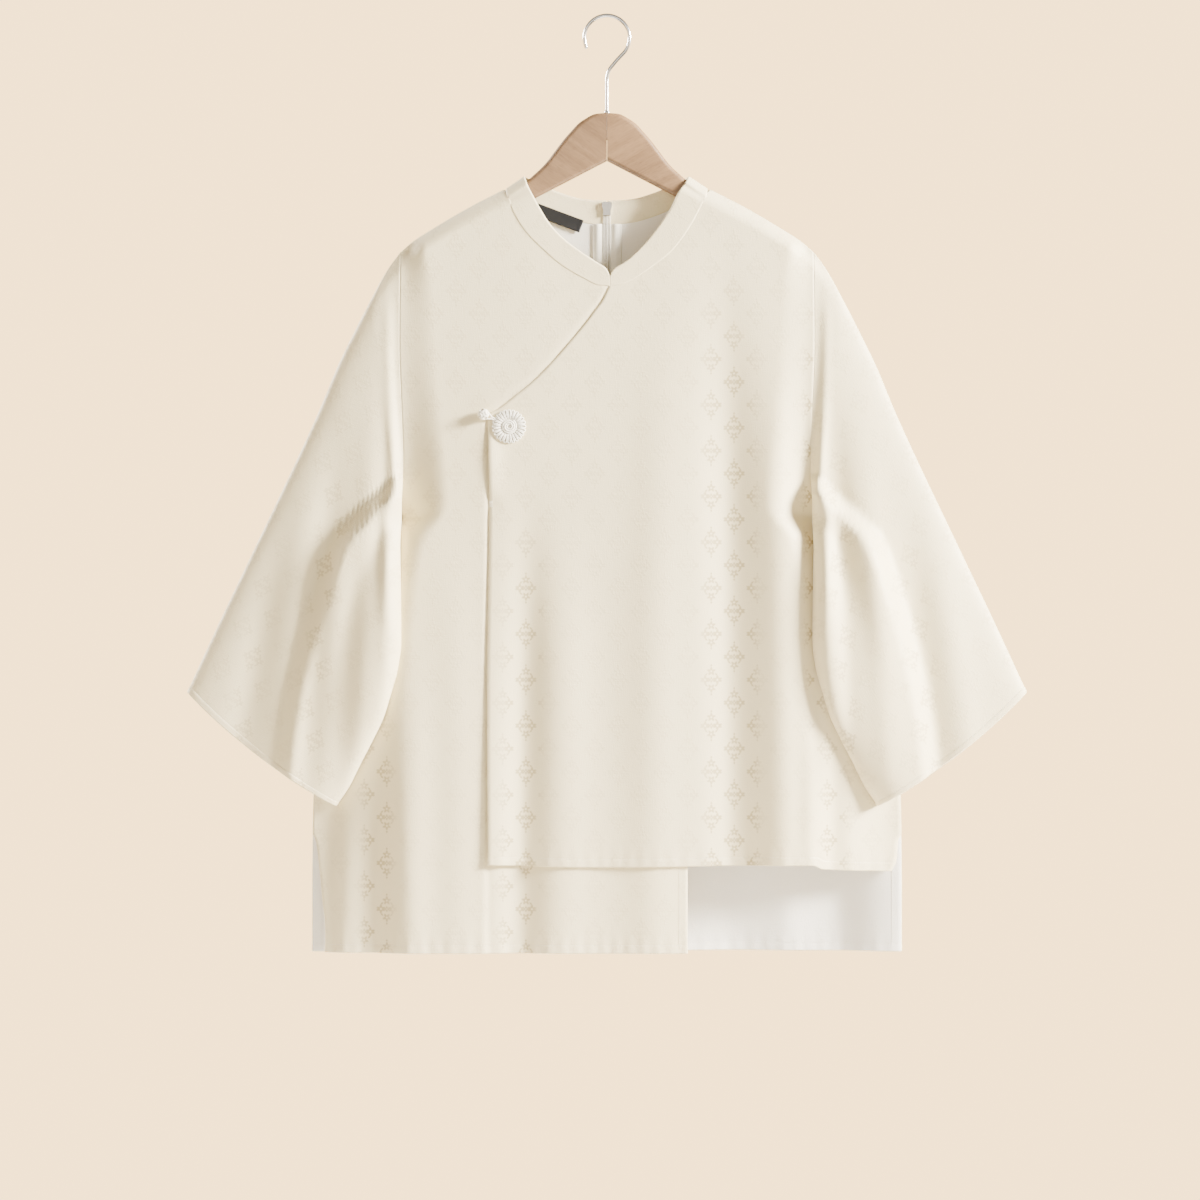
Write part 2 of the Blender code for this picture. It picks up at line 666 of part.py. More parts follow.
def sleeve_grid(side):
    """Rings of the sleeve from the armhole to the cuff, worked out for the right and mirrored."""
    angles = np.arange(SLEEVE_SIDES) * 2 * math.pi / SLEEVE_SIDES
    across = (1 - np.cos(angles)) / 2
    swell = abs(np.sin(angles)) ** 0.8
    is_front = np.sin(angles) >= 0
    tops = along(points_of(SLEEVE_TOP), SLEEVE_RINGS)
    unders = along(points_of(SLEEVE_UNDER), SLEEVE_RINGS)
    seam = along(points_of(ARMHOLE), across)
    near_under = eased((across - SLEEVE_DROP_FROM) / (SLEEVE_DROP_FULL - SLEEVE_DROP_FROM))
    seam[:, 0] += BORDER + SLEEVE_DROP * near_under
    seam[:, 1] += SLEEVE_DROP * near_under
    at_seam = np.where(is_front, -half_depth(*seam.T, "front"), half_depth(*seam.T, "back"))
    at_seam = np.where(swell < 0.01, -2 * SLEEVE_DROP * across, at_seam)
    rings = []
    for share, top, under in zip(SLEEVE_RINGS, tops, unders):
        flat = top + (under - top) * across[:, None]
        flat += (1 - share) ** 6 * (seam - (tops[0] + (unders[0] - tops[0]) * across[:, None]))
        flat += CUFF_BULGE * share**3 * (4 * across * (1 - across))[:, None] * CUFF_AXIS
        x, z = flat.T
        depth = fit(SLEEVE_HALF_DEPTH, "along", "depth", share) * swell
        front = SLEEVE_CENTRE_Y - depth - fold_height(SLEEVE_FOLDS[side], x, z) * swell
        back = SLEEVE_CENTRE_Y + depth + fold_height(SLEEVE_BACK_FOLDS, x, z) * swell
        y = np.where(is_front, front, back)
        y = at_seam + (y - at_seam) * eased(share / SLEEVE_JOIN)
        behind = np.where(is_front, y[(-np.arange(SLEEVE_SIDES)) % SLEEVE_SIDES], y)
        if share > 0:
            y += np.minimum(0, body_keeps_clear(x, z) - behind)
        rings.append(np.stack([side * x, y, z], axis=1))
    return np.array(rings)


def sleeve(name, side, collection):
    return sheet(name, sleeve_grid(side), WALL, CLOTH, collection, closed=True)


def collar(name, band, collection):
    """A band round half the neck; its y swings from the front depth to the back depth."""
    stations = np.arange(len(band["share"]))
    between = np.linspace(0, stations[-1], COLLAR_COLUMNS + 1)
    path = np.stack([monotone(stations, column, between) for column in band.values()], axis=1)
    depth = COLLAR_DEPTH * np.ones(len(path))
    for k, (x, z) in enumerate(path[:, :2]):
        face = "front" if path[k, 4] < 0 else "back"
        if abs(path[k, 4]) > 0.97:
            depth[k] = half_depth(x, z, face)
    y = depth * path[:, 4]
    rows = []
    for up in even(2):
        x = path[:, 0] + (path[:, 2] - path[:, 0]) * up
        z = path[:, 1] + (path[:, 3] - path[:, 1]) * up
        rows.append(np.stack([x, y, z], axis=1))
    return sheet(name, np.array(rows), BAND_WALL, CLOTH, collection)


def strip_on_back(name, x_range, z_range, thickness, gap, finish, collection):
    """A flat strip that lies on the inside of the back, following it down."""
    z = np.linspace(*z_range, 10)
    x = np.linspace(*x_range, 3)
    flat = np.stack(np.meshgrid(x, z), axis=-1)
    grid = raised(flat, lambda x, z: back_y(x, z) - gap - thickness / 2)
    return sheet(name, grid, thickness, finish, collection)


def plate(name, outline, y_low, y_high, finish, collection):
    """A flat piece of this closed XZ outline between two depths."""
    bm = bmesh.new()
    face = bm.faces.new([bm.verts.new((x, y_low, z)) for x, z in outline])
    extruded = bmesh.ops.extrude_face_region(bm, geom=[face])
    moved = [item for item in extruded["geom"] if isinstance(item, bmesh.types.BMVert)]
    bmesh.ops.translate(bm, verts=moved, vec=(0, y_high - y_low, 0))
    bmesh.ops.recalc_face_normals(bm, faces=bm.faces)
    return add(name, mesh_from(bm, name), finish, collection)


def box(name, low, high, finish, collection):
    bpy.ops.mesh.primitive_cube_add(size=1)
    obj = bpy.context.active_object
    obj.name = name
    low, high = np.array(low), np.array(high)
    for vertex in obj.data.vertices:
        vertex.co = (low + high) / 2 + np.array(vertex.co) * (high - low)
    obj.data.materials.append(new_material(finish))
    for other in obj.users_collection:
        other.objects.unlink(obj)
    collection.objects.link(obj)
    return obj


def wire(name, points, radius, finish, collection):
    """A round wire through the given points, with flat ends."""
    data = bpy.data.curves.new(name, "CURVE")
    data.dimensions = "3D"
    data.bevel_depth = radius
    data.bevel_resolution = 2
    data.use_fill_caps = True
    spline = data.splines.new("POLY")
    spline.points.add(len(points) - 1)
    for point, place in zip(spline.points, points):
        point.co = (*place, 1)
    return add(name, data, finish, collection)


def to_mesh(curve):
    """The curve's own surface as a mesh object, its caps welded on."""
    bpy.context.view_layer.update()
    evaluated = curve.evaluated_get(bpy.context.evaluated_depsgraph_get())
    mesh = bpy.data.meshes.new_from_object(evaluated)
    bm = bmesh.new()
    bm.from_mesh(mesh)
    bmesh.ops.remove_doubles(bm, verts=bm.verts, dist=1e-6)
    bm.to_mesh(mesh)
    bm.free()
    obj = bpy.data.objects.new(curve.name, mesh)
    obj.matrix_world = curve.matrix_world
    for collection in curve.users_collection:
        collection.objects.link(obj)
    bpy.data.objects.remove(curve)
    return obj


def combine(obj, other, operation):
    modifier = obj.modifiers.new(operation.lower(), "BOOLEAN")
    modifier.operation = operation
    modifier.object = as_cutter(other)


def both_sides(rows):
    """A half outline, top to bottom, closed by its mirror image."""
    half = points_of(rows)
    return np.concatenate([half, (half * (-1, 1))[::-1]])


def zip_depth():
    """The middle of the collar band at the zip."""
    return float(back_y(0.0, PULL_Z))


def pull_y():
    return zip_depth() + BAND_WALL / 2 + SEAM + SLIDER_PAD_THICK + PULL_THICK / 2 + SEAM


def zip_slider(parts, cutters):
    """The slider: a shield inside, a neck through the seam, and a pad and bridge outside."""
    band = zip_depth()
    inside = band - BAND_WALL / 2 - SEAM
    outside = band + BAND_WALL / 2 + SEAM
    outline = both_sides(SLIDER_OUTLINE) + (0, SLIDER_TOP_Z)
    slider = plate("zip_slider", outline, inside - SLIDER_THICK, inside, STEEL, parts)
    neck = ((SLIDER_NECK_HALF, PULL_Z - 0.0030), (SLIDER_NECK_HALF, PULL_Z + 0.0030))
    low = (-neck[0][0], inside - SLIDER_THICK / 2, neck[0][1])
    high = (neck[1][0], outside + SLIDER_PAD_THICK / 2, neck[1][1])
    combine(slider, box("slider_neck", low, high, STEEL, cutters), "UNION")
    low = (-SLIDER_PAD_HALF, outside, PULL_Z - 0.0036)
    high = (SLIDER_PAD_HALF, outside + SLIDER_PAD_THICK, PULL_Z + 0.0036)
    combine(slider, box("slider_pad", low, high, STEEL, cutters), "UNION")
    turns = np.linspace(-BRIDGE_ANGLE, BRIDGE_ANGLE, 13)
    centre = pull_y()
    arc = [(0, centre + PULL_REACH * math.cos(a), PULL_Z + PULL_REACH * math.sin(a)) for a in turns]
    bridge = to_mesh(wire("slider_bridge", arc, BRIDGE_RADIUS, STEEL, cutters))
    combine(slider, bridge, "UNION")
    return slider


def zip_pull(parts, cutters):
    """The pull: a small plate that swings on its top bar, under the slider's bridge."""
    centre = pull_y()
    pull = plate(
        "zip_pull", both_sides(PULL_OUTLINE), -PULL_THICK / 2, PULL_THICK / 2, STEEL, parts
    )
    pull.location = (0, centre, PULL_Z)
    half, top, bottom = PULL_WINDOW
    window = box("pull_window", (-half, -PULL_THICK, bottom), (half, PULL_THICK, top), STEEL, cutters)
    window.parent = pull
    combine(pull, window, "DIFFERENCE")
    return pull


def neck_label(collection):
    """A bare label whose top edge follows the back neck seam."""
    run = np.array((-math.cos(LABEL_TILT), math.sin(LABEL_TILT)))
    drop = np.array((-math.sin(LABEL_TILT), -math.cos(LABEL_TILT)))
    lengths, heights = np.meshgrid(np.linspace(0, LABEL_LENGTH, 9), (0, LABEL_HEIGHT / 2, LABEL_HEIGHT))
    flat = LABEL_TOP_RIGHT + lengths[..., None] * run + heights[..., None] * drop
    gap = BAND_WALL / 2 + SEAM + LABEL_THICK / 2
    grid = raised(flat, lambda x, z: back_y(x, z) - gap)
    return sheet("neck_label", grid, LABEL_THICK, LABEL, collection)


def frog_flower(collection):
    """A disc of cord petals round a coiled centre with a dimple, its back just clear of the cloth."""
    bm = bmesh.new()
    steps = FLOWER_PETALS * FLOWER_SAMPLES
    angles = np.arange(steps) * 2 * math.pi / steps
    valley = (np.arange(steps) % FLOWER_SAMPLES == 0).astype(float)

    def ring(radii, heights):
        x = FLOWER_CENTRE[0] + radii * np.cos(angles)
        z = FLOWER_CENTRE[1] + radii * np.sin(angles)
        y = over_y(x, z) - WALL / 2 - SEAM - heights
        return [bm.verts.new(point) for point in zip(x, y, z)]

    rings = []
    for radius, height, petal in zip(*FLOWER_PROFILE.values()):
        notch = PETAL_NOTCH * valley * (radius == FLOWER_PROFILE["radius"][-1])
        rings.append(ring(radius - notch, height * (1 - petal * valley)))
    rings.append(ring(np.full(steps, FLOWER_PROFILE["radius"][-2]), np.zeros(steps)))
    for inner, outer in zip(rings, rings[1:]):
        for k in range(steps):
            n = (k + 1) % steps
            bm.faces.new((inner[k], inner[n], outer[n], outer[k]))
    x, z = FLOWER_CENTRE
    surface = float(over_y(x, z)) - WALL / 2 - SEAM
    for ends, y in ((rings[0], surface - FLOWER_DIMPLE), (rings[-1], surface)):
        middle = bm.verts.new((x, y, z))
        for k in range(steps):
            bm.faces.new((ends[k], ends[(k + 1) % steps], middle))
    bmesh.ops.recalc_face_normals(bm, faces=bm.faces)
    return add("frog_flower", mesh_from(bm, "frog_flower"), CORD, collection)


def ball_y():
    x, z = BALL_CENTRE
    return float(under_y(x, z)) - WALL / 2 - SEAM - FACET - BALL_RADIUS


def frog_ball(collection):
    bm = bmesh.new()
    bmesh.ops.create_uvsphere(bm, u_segments=16, v_segments=10, radius=BALL_RADIUS)
    mesh = mesh_from(bm, "frog_ball")
    mesh.shade_smooth()
    ball = add("frog_ball", mesh, CORD, collection)
    ball.location = (BALL_CENTRE[0], ball_y(), BALL_CENTRE[1])
    return ball


def frog_loop(collection):
    """The cord from the flower's rim to the knot, with a small gap at each end."""
    start, end = FLOWER_CENTRE, BALL_CENTRE
    run = (end - start) / np.linalg.norm(end - start)
    start = start + run * (FLOWER_PROFILE["radius"][-1] + SEAM + 0.0002)
    end = end - run * (BALL_RADIUS + 2 * SEAM)
    flower_y = float(over_y(*start)) - WALL / 2 - SEAM - LOOP_RADIUS
    points = []
    for share in even(4):
        x, z = start + (end - start) * share
        points.append((x, flower_y + (ball_y() - flower_y) * share, z))
    return wire("frog_loop", points, LOOP_RADIUS, CORD, collection)


def arm_outline():
    """Half the hanger in XZ: over the hub, along under the shoulder, round the end and back."""
    middle = SEAM / 2
    x = np.linspace(*ARM_PARALLEL, 6)
    top = np.stack([x, shoulder_z(x) - ARM_BELOW_SHOULDER], axis=1)
    under_x = np.linspace(*ARM_UNDER_RUN, 5)
    under = np.stack([under_x, ARM_UNDER_Z - ARM_UNDER_SLOPE * under_x], axis=1)
    hub, notch = [(middle, ARM_TOP_Z)], [(middle, ARM_UNDER_Z)]
    return np.concatenate([hub, points_of(ARM_OUTLINE), top, points_of(ARM_END), under, notch])


def hanger_arm(name, side, bore, collection):
    """A flat beech arm with rounded edges, but for the square end where the two halves meet."""
    outline = arm_outline() * (side, 1)
    arm = plate(name, outline, ARM_Y - ARM_HALF_THICK, ARM_Y + ARM_HALF_THICK, BEECH, collection)
    bm = bmesh.new()
    bm.from_mesh(arm.data)
    rims = []
    for edge in bm.edges:
        flat = abs(edge.verts[0].co.y - edge.verts[1].co.y) < ARM_ROUND
        meets = max(abs(vertex.co.x) for vertex in edge.verts) < SEAM
        if flat and not meets:
            rims.append(edge)
    bmesh.ops.bevel(
        bm, geom=rims, offset=ARM_ROUND, segments=3, profile=0.5, affect="EDGES", clamp_overlap=False
    )
    bm.to_mesh(arm.data)
    bm.free()
    arm.data.shade_smooth()
    arm.data.set_sharp_from_angle(angle=math.radians(40))
    combine(arm, bore, "DIFFERENCE")
    return arm


def hook_bore(collection):
    """The drilled seat of the hook's foot, in the joint between the arms."""
    depth = ARM_TOP_Z - HOOK_FOOT_Z + SEAM
    bpy.ops.mesh.primitive_cylinder_add(vertices=24, radius=BORE_RADIUS, depth=2 * depth)
    bore = bpy.context.active_object
    bore.name = "hook_bore"
    bore.location = (0, ARM_Y, ARM_TOP_Z)
    for other in bore.users_collection:
        other.objects.unlink(bore)
    collection.objects.link(bore)
    return bore


def hanger_hook(collection):
    """A wire that rises from the hub and turns over in a round hook; its inside top is the origin."""
    radius = HOOK_INSIDE + WIRE_RADIUS
    centre = -HOOK_INSIDE
    stem = [(0, z) for z in np.linspace(HOOK_FOOT_Z, -0.0560, 5)]
    turn = np.radians(np.linspace(-38, HOOK_END_DEGREES, 22))
    bow = [(radius * math.cos(a), centre + radius * math.sin(a)) for a in turn]
    neck = along([stem[-1], (0.0014, -0.0500), (0.0074, -0.0415), bow[0]], even(6))[1:-1]
    points = [(x, ARM_Y, z) for x, z in [*stem, *neck, *bow]]
    return wire("hanger_hook", points, WIRE_RADIUS, STEEL, collection)


def main():
    clear_scene()
    parts = new_collection("three_quarter_sleeve_top_on_hanger")
    cutters = new_collection("cutters")
    front_over(parts)
    front_under(parts)
    back_half("back_left", LEFT, parts)
    back_half("back_right", RIGHT, parts)
    sleeve("sleeve_left", LEFT, parts)
    sleeve("sleeve_right", RIGHT, parts)
    collar("collar_left", COLLAR_LEFT, parts)
    collar("collar_right", COLLAR_RIGHT, parts)
    neck_seam = COLLAR_RIGHT["seam_z"][-1] - BORDER
    tape_gap = WALL / 2 + SEAM
    coil_gap = BAND_WALL / 2 + SEAM
    for name, side in (("zip_tape_left", LEFT), ("zip_tape_right", RIGHT)):
        reach = tuple(side * x for x in ZIP_TAPE)
        strip_on_back(name, reach, (neck_seam, ZIP_BOTTOM_Z), ZIP_TAPE_THICK, tape_gap, TAPE, parts)
    coil = (-ZIP_COIL_HALF, ZIP_COIL_HALF)
    coil_z = (SLIDER_BOTTOM_Z - SEAM, ZIP_BOTTOM_Z)
    strip_on_back("zip_coil", coil, coil_z, ZIP_COIL_THICK, coil_gap, TAPE, parts)
    zip_slider(parts, cutters)
    zip_pull(parts, cutters)
    neck_label(parts)
    frog_flower(parts)
    frog_ball(parts)
    frog_loop(parts)
    bore = hook_bore(cutters)
    hanger_arm("hanger_arm_left", LEFT, bore, parts)
    hanger_arm("hanger_arm_right", RIGHT, bore, parts)
    hanger_hook(parts)


main()
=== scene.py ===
"""A cross-over tunic top with three-quarter sleeves on a beech hanger, dressed for the camera.

Metres, +Z up. The front faces -Y and +X is the viewer's right, so left and right here are the
viewer's. The origin is the inside top of the hanger's hook. Each cloth piece is a fine shell on the
form of its solid: it is drafted flat in the XZ plane, and a depth gives how far it stands from the
garment's centre plane.
"""

import logging
import math
from collections.abc import Callable, Sequence
from dataclasses import dataclass, field
from enum import Enum

import bmesh
import bpy
import numpy as np
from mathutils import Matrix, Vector


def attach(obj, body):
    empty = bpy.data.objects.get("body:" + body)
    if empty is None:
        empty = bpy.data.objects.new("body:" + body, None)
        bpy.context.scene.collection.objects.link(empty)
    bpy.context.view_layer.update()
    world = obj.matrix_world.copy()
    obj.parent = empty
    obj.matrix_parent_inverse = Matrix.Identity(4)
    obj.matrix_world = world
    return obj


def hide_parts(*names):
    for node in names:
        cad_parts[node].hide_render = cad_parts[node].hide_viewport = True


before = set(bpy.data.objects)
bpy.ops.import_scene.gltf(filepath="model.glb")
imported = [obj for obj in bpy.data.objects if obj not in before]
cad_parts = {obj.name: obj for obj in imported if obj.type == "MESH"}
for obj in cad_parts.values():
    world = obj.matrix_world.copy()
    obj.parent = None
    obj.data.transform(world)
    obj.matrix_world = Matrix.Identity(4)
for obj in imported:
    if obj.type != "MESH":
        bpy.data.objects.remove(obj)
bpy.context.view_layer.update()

LOG = logging.getLogger("tunic")
TOP = "top_on_hanger"
Rows = dict[str, np.ndarray]
Depth = Callable[[np.ndarray, np.ndarray], np.ndarray]


class Side(Enum):
    """The viewer's left or right half of the garment."""

    LEFT = -1
    RIGHT = 1


class Face(Enum):
    """The front or the back wall of the body."""

    FRONT = "front"
    BACK = "back"


def table(columns: str, *rows: Sequence[float]) -> Rows:
    """Make a short table.

    Args:
        columns: The column names, with spaces between.
        rows: One sequence of numbers a row.

    Returns:
        One array for each named column.
    """
    return dict(zip(columns.split(), np.array(rows, float).T))


def monotone(known: np.ndarray, values: np.ndarray, at: np.ndarray) -> np.ndarray:
    """Read a smooth curve that never overshoots its points.

    Args:
        known: Rising places of the points.
        values: The value at each place.
        at: Where to read; held past the ends.

    Returns:
        The values there.
    """
    steps = np.diff(known)
    slopes = np.diff(values) / steps
    tangents = np.concatenate([slopes[:1], np.zeros(len(slopes) - 1), slopes[-1:]])
    before, after = slopes[:-1], slopes[1:]
    agree = before * after > 0
    tangents[1:-1][agree] = 2 * before[agree] * after[agree] / (before + after)[agree]
    at = np.clip(at, known[0], known[-1])
    i = np.clip(np.searchsorted(known, at) - 1, 0, len(steps) - 1)
    t = (at - known[i]) / steps[i]
    start = (1 + 2 * t) * (1 - t) ** 2 * values[i] + t * (1 - t) ** 2 * steps[i] * tangents[i]
    end = t**2 * (3 - 2 * t) * values[i + 1] - t**2 * (1 - t) * steps[i] * tangents[i + 1]
    return start + end


def fit(rows: Rows, key: str, value: str, at: np.ndarray) -> np.ndarray:
    """Read one column of a table as a smooth curve over another.

    Args:
        rows: The table.
        key: The column that says where.
        value: The column to read.
        at: Where to read it.

    Returns:
        The values there.
    """
    known, values = rows[key], rows[value]
    if known[0] > known[-1]:
        known, values = known[::-1], values[::-1]
    return monotone(known, values, at)


def eased(share: np.ndarray) -> np.ndarray:
    """A smooth step from 0 to 1."""
    share = np.clip(share, 0, 1)
    return share * share * (3 - 2 * share)


def rounded(share: np.ndarray) -> np.ndarray:
    """0 to 1 with a steep start and a level end, as cloth turns over an edge."""
    return 1 - (1 - np.clip(share, 0, 1)) ** 2


def ridge(distance: np.ndarray, width: float) -> np.ndarray:
    """A smooth hump, 1 at its centre line."""
    return np.exp(-((distance / width) ** 2))


def points_of(rows: Rows, side: Side = Side.RIGHT) -> np.ndarray:
    """A table's x and z as points, mirrored for the left."""
    return np.stack([side.value * rows["x"], rows["z"]], axis=1)


def along(points: np.ndarray, shares: np.ndarray) -> np.ndarray:
    """Read points along a smooth curve.

    Args:
        points: The points that the curve goes through.
        shares: Shares of its length, 0 to 1.

    Returns:
        One point for each share.
    """
    points = np.asarray(points, float)
    chord = np.concatenate([[0], np.cumsum(np.linalg.norm(np.diff(points, axis=0), axis=1))])
    fine = np.linspace(0, chord[-1], 40 * len(points))
    curve = np.stack([monotone(chord, column, fine) for column in points.T], axis=1)
    length = np.concatenate([[0], np.cumsum(np.linalg.norm(np.diff(curve, axis=0), axis=1))])
    wanted = np.asarray(shares) * length[-1]
    return np.stack([np.interp(wanted, length, column) for column in curve.T], axis=1)


def joined(*stretches: np.ndarray) -> np.ndarray:
    """Stretches of points end to end, each meeting the next in one shared point."""
    return np.concatenate([stretches[0]] + [stretch[1:] for stretch in stretches[1:]])


def even(count: int) -> np.ndarray:
    """Shares that cut a line into equal parts."""
    return np.linspace(0, 1, count + 1)


def coons(
    top: np.ndarray, bottom: np.ndarray, left: np.ndarray, right: np.ndarray,
    across: np.ndarray, down: np.ndarray,
) -> np.ndarray:
    """Fill four boundaries with points.

    Args:
        top: Points of the top boundary, left to right.
        bottom: Points of the bottom boundary, left to right.
        left: Points of the left boundary, top to bottom.
        right: Points of the right boundary, top to bottom.
        across: The columns' shares of the width.
        down: The rows' shares of the height.

    Returns:
        A grid of flat points, rows by columns.
    """
    u, v = np.asarray(across)[None, :, None], np.asarray(down)[:, None, None]
    sides = (1 - u) * left[:, None] + u * right[:, None]
    ends = (1 - v) * top[None] + v * bottom[None]
    corners = (1 - u) * (1 - v) * top[0] + u * (1 - v) * top[-1]
    corners = corners + (1 - u) * v * bottom[0] + u * v * bottom[-1]
    return sides + ends - corners


def shifted(points: np.ndarray, distance: float) -> np.ndarray:
    """Move an open line of flat points to its left.

    Args:
        points: The line.
        distance: How far; below 0 moves it to its right.

    Returns:
        The moved line.
    """
    ahead = np.gradient(points, axis=0)
    ahead /= np.linalg.norm(ahead, axis=1)[:, None]
    return points + distance * np.stack([-ahead[:, 1], ahead[:, 0]], axis=1)


@dataclass(frozen=True)
class Graph:
    """The nodes of one material, with short ways to add and join them."""

    material: bpy.types.Material | bpy.types.World

    @classmethod
    def named(cls, name: str) -> "Graph":
        """A new material with its own shader."""
        material = bpy.data.materials.new(name)
        material.use_nodes = True
        return cls(material)

    @property
    def shader(self) -> bpy.types.Node:
        """The material's shader."""
        return self.material.node_tree.nodes["Principled BSDF"]

    def put(self, socket: bpy.types.NodeSocket, value: object) -> None:
        """Set a socket, or join another one to it.

        Args:
            socket: The input socket.
            value: A number, a colour, a vector or an output socket.
        """
        if isinstance(value, bpy.types.NodeSocket):
            self.material.node_tree.links.new(value, socket)
        elif hasattr(value, "__len__") and socket.type == "RGBA":
            socket.default_value = (*value, 1)[:4]
        else:
            socket.default_value = value

    def add(self, kind: str, inputs: dict | None = None, **settings: object) -> bpy.types.Node:
        """Add a node.

        Args:
            kind: Its type, without the ShaderNode in front.
            inputs: Values or sockets for its inputs, by name or number.
            settings: Its own settings.

        Returns:
            The node.
        """
        node = self.material.node_tree.nodes.new("ShaderNode" + kind)
        for key, value in settings.items():
            setattr(node, key, value)
        for key, value in (inputs or {}).items():
            self.put(node.inputs[key], value)
        return node

    def math(self, operation: str, *values: object) -> bpy.types.NodeSocket:
        """One step of arithmetic.

        Args:
            operation: The step's name.
            values: Its numbers or sockets.

        Returns:
            Its result.
        """
        return self.add("Math", dict(enumerate(values)), operation=operation).outputs[0]

    def ramp(self, value: object, low: float, high: float) -> bpy.types.NodeSocket:
        """A value as a share of the way from low to high, held at 0 and 1."""
        inputs = {"Value": value, "From Min": low, "From Max": high}
        return self.add("MapRange", inputs, clamp=True).outputs["Result"]

    def mix(self, share: object, first: object, second: object) -> bpy.types.NodeSocket:
        """Mix two colours.

        Args:
            share: How much of the second.
            first: A colour or socket.
            second: A colour or socket.

        Returns:
            The mixed colour.
        """
        node = self.add("Mix", data_type="RGBA")
        self.put(node.inputs["Factor"], share)
        self.put(node.inputs[6], first)
        self.put(node.inputs[7], second)
        return node.outputs[2]

    def noise(
        self, where: object, scale: float, detail: float = 2.0, rough: float = 0.5
    ) -> bpy.types.NodeSocket:
        """Soft noise.

        Args:
            where: The coordinates' socket.
            scale: Cells to the metre.
            detail: How many finer layers.
            rough: How strong they are.

        Returns:
            Its value, about 0.5.
        """
        inputs = {"Vector": where, "Scale": scale, "Detail": detail, "Roughness": rough}
        return self.add("TexNoise", inputs).outputs["Fac"]

    def scaled(self, where: object, scale: Sequence[float]) -> bpy.types.NodeSocket:
        """Coordinates stretched along their axes."""
        return self.add("Mapping", {"Vector": where, "Scale": scale}).outputs["Vector"]

    def bump(
        self, height: object, distance: float, strength: float = 1.0, normal: object = None
    ) -> bpy.types.NodeSocket:
        """Relief from a height.

        Args:
            height: The height's socket.
            distance: Metres for a height of 1.
            strength: How much of it shows.
            normal: Relief to add it to.

        Returns:
            The new normal.
        """
        inputs = {"Height": height, "Distance": distance, "Strength": strength}
        if normal is not None:
            inputs["Normal"] = normal
        return self.add("Bump", inputs).outputs["Normal"]

    def dress(self, **inputs: object) -> None:
        """Set the shader's inputs, each named with underscores for spaces."""
        for key, value in inputs.items():
            self.put(self.shader.inputs[key.replace("_", " ")], value)


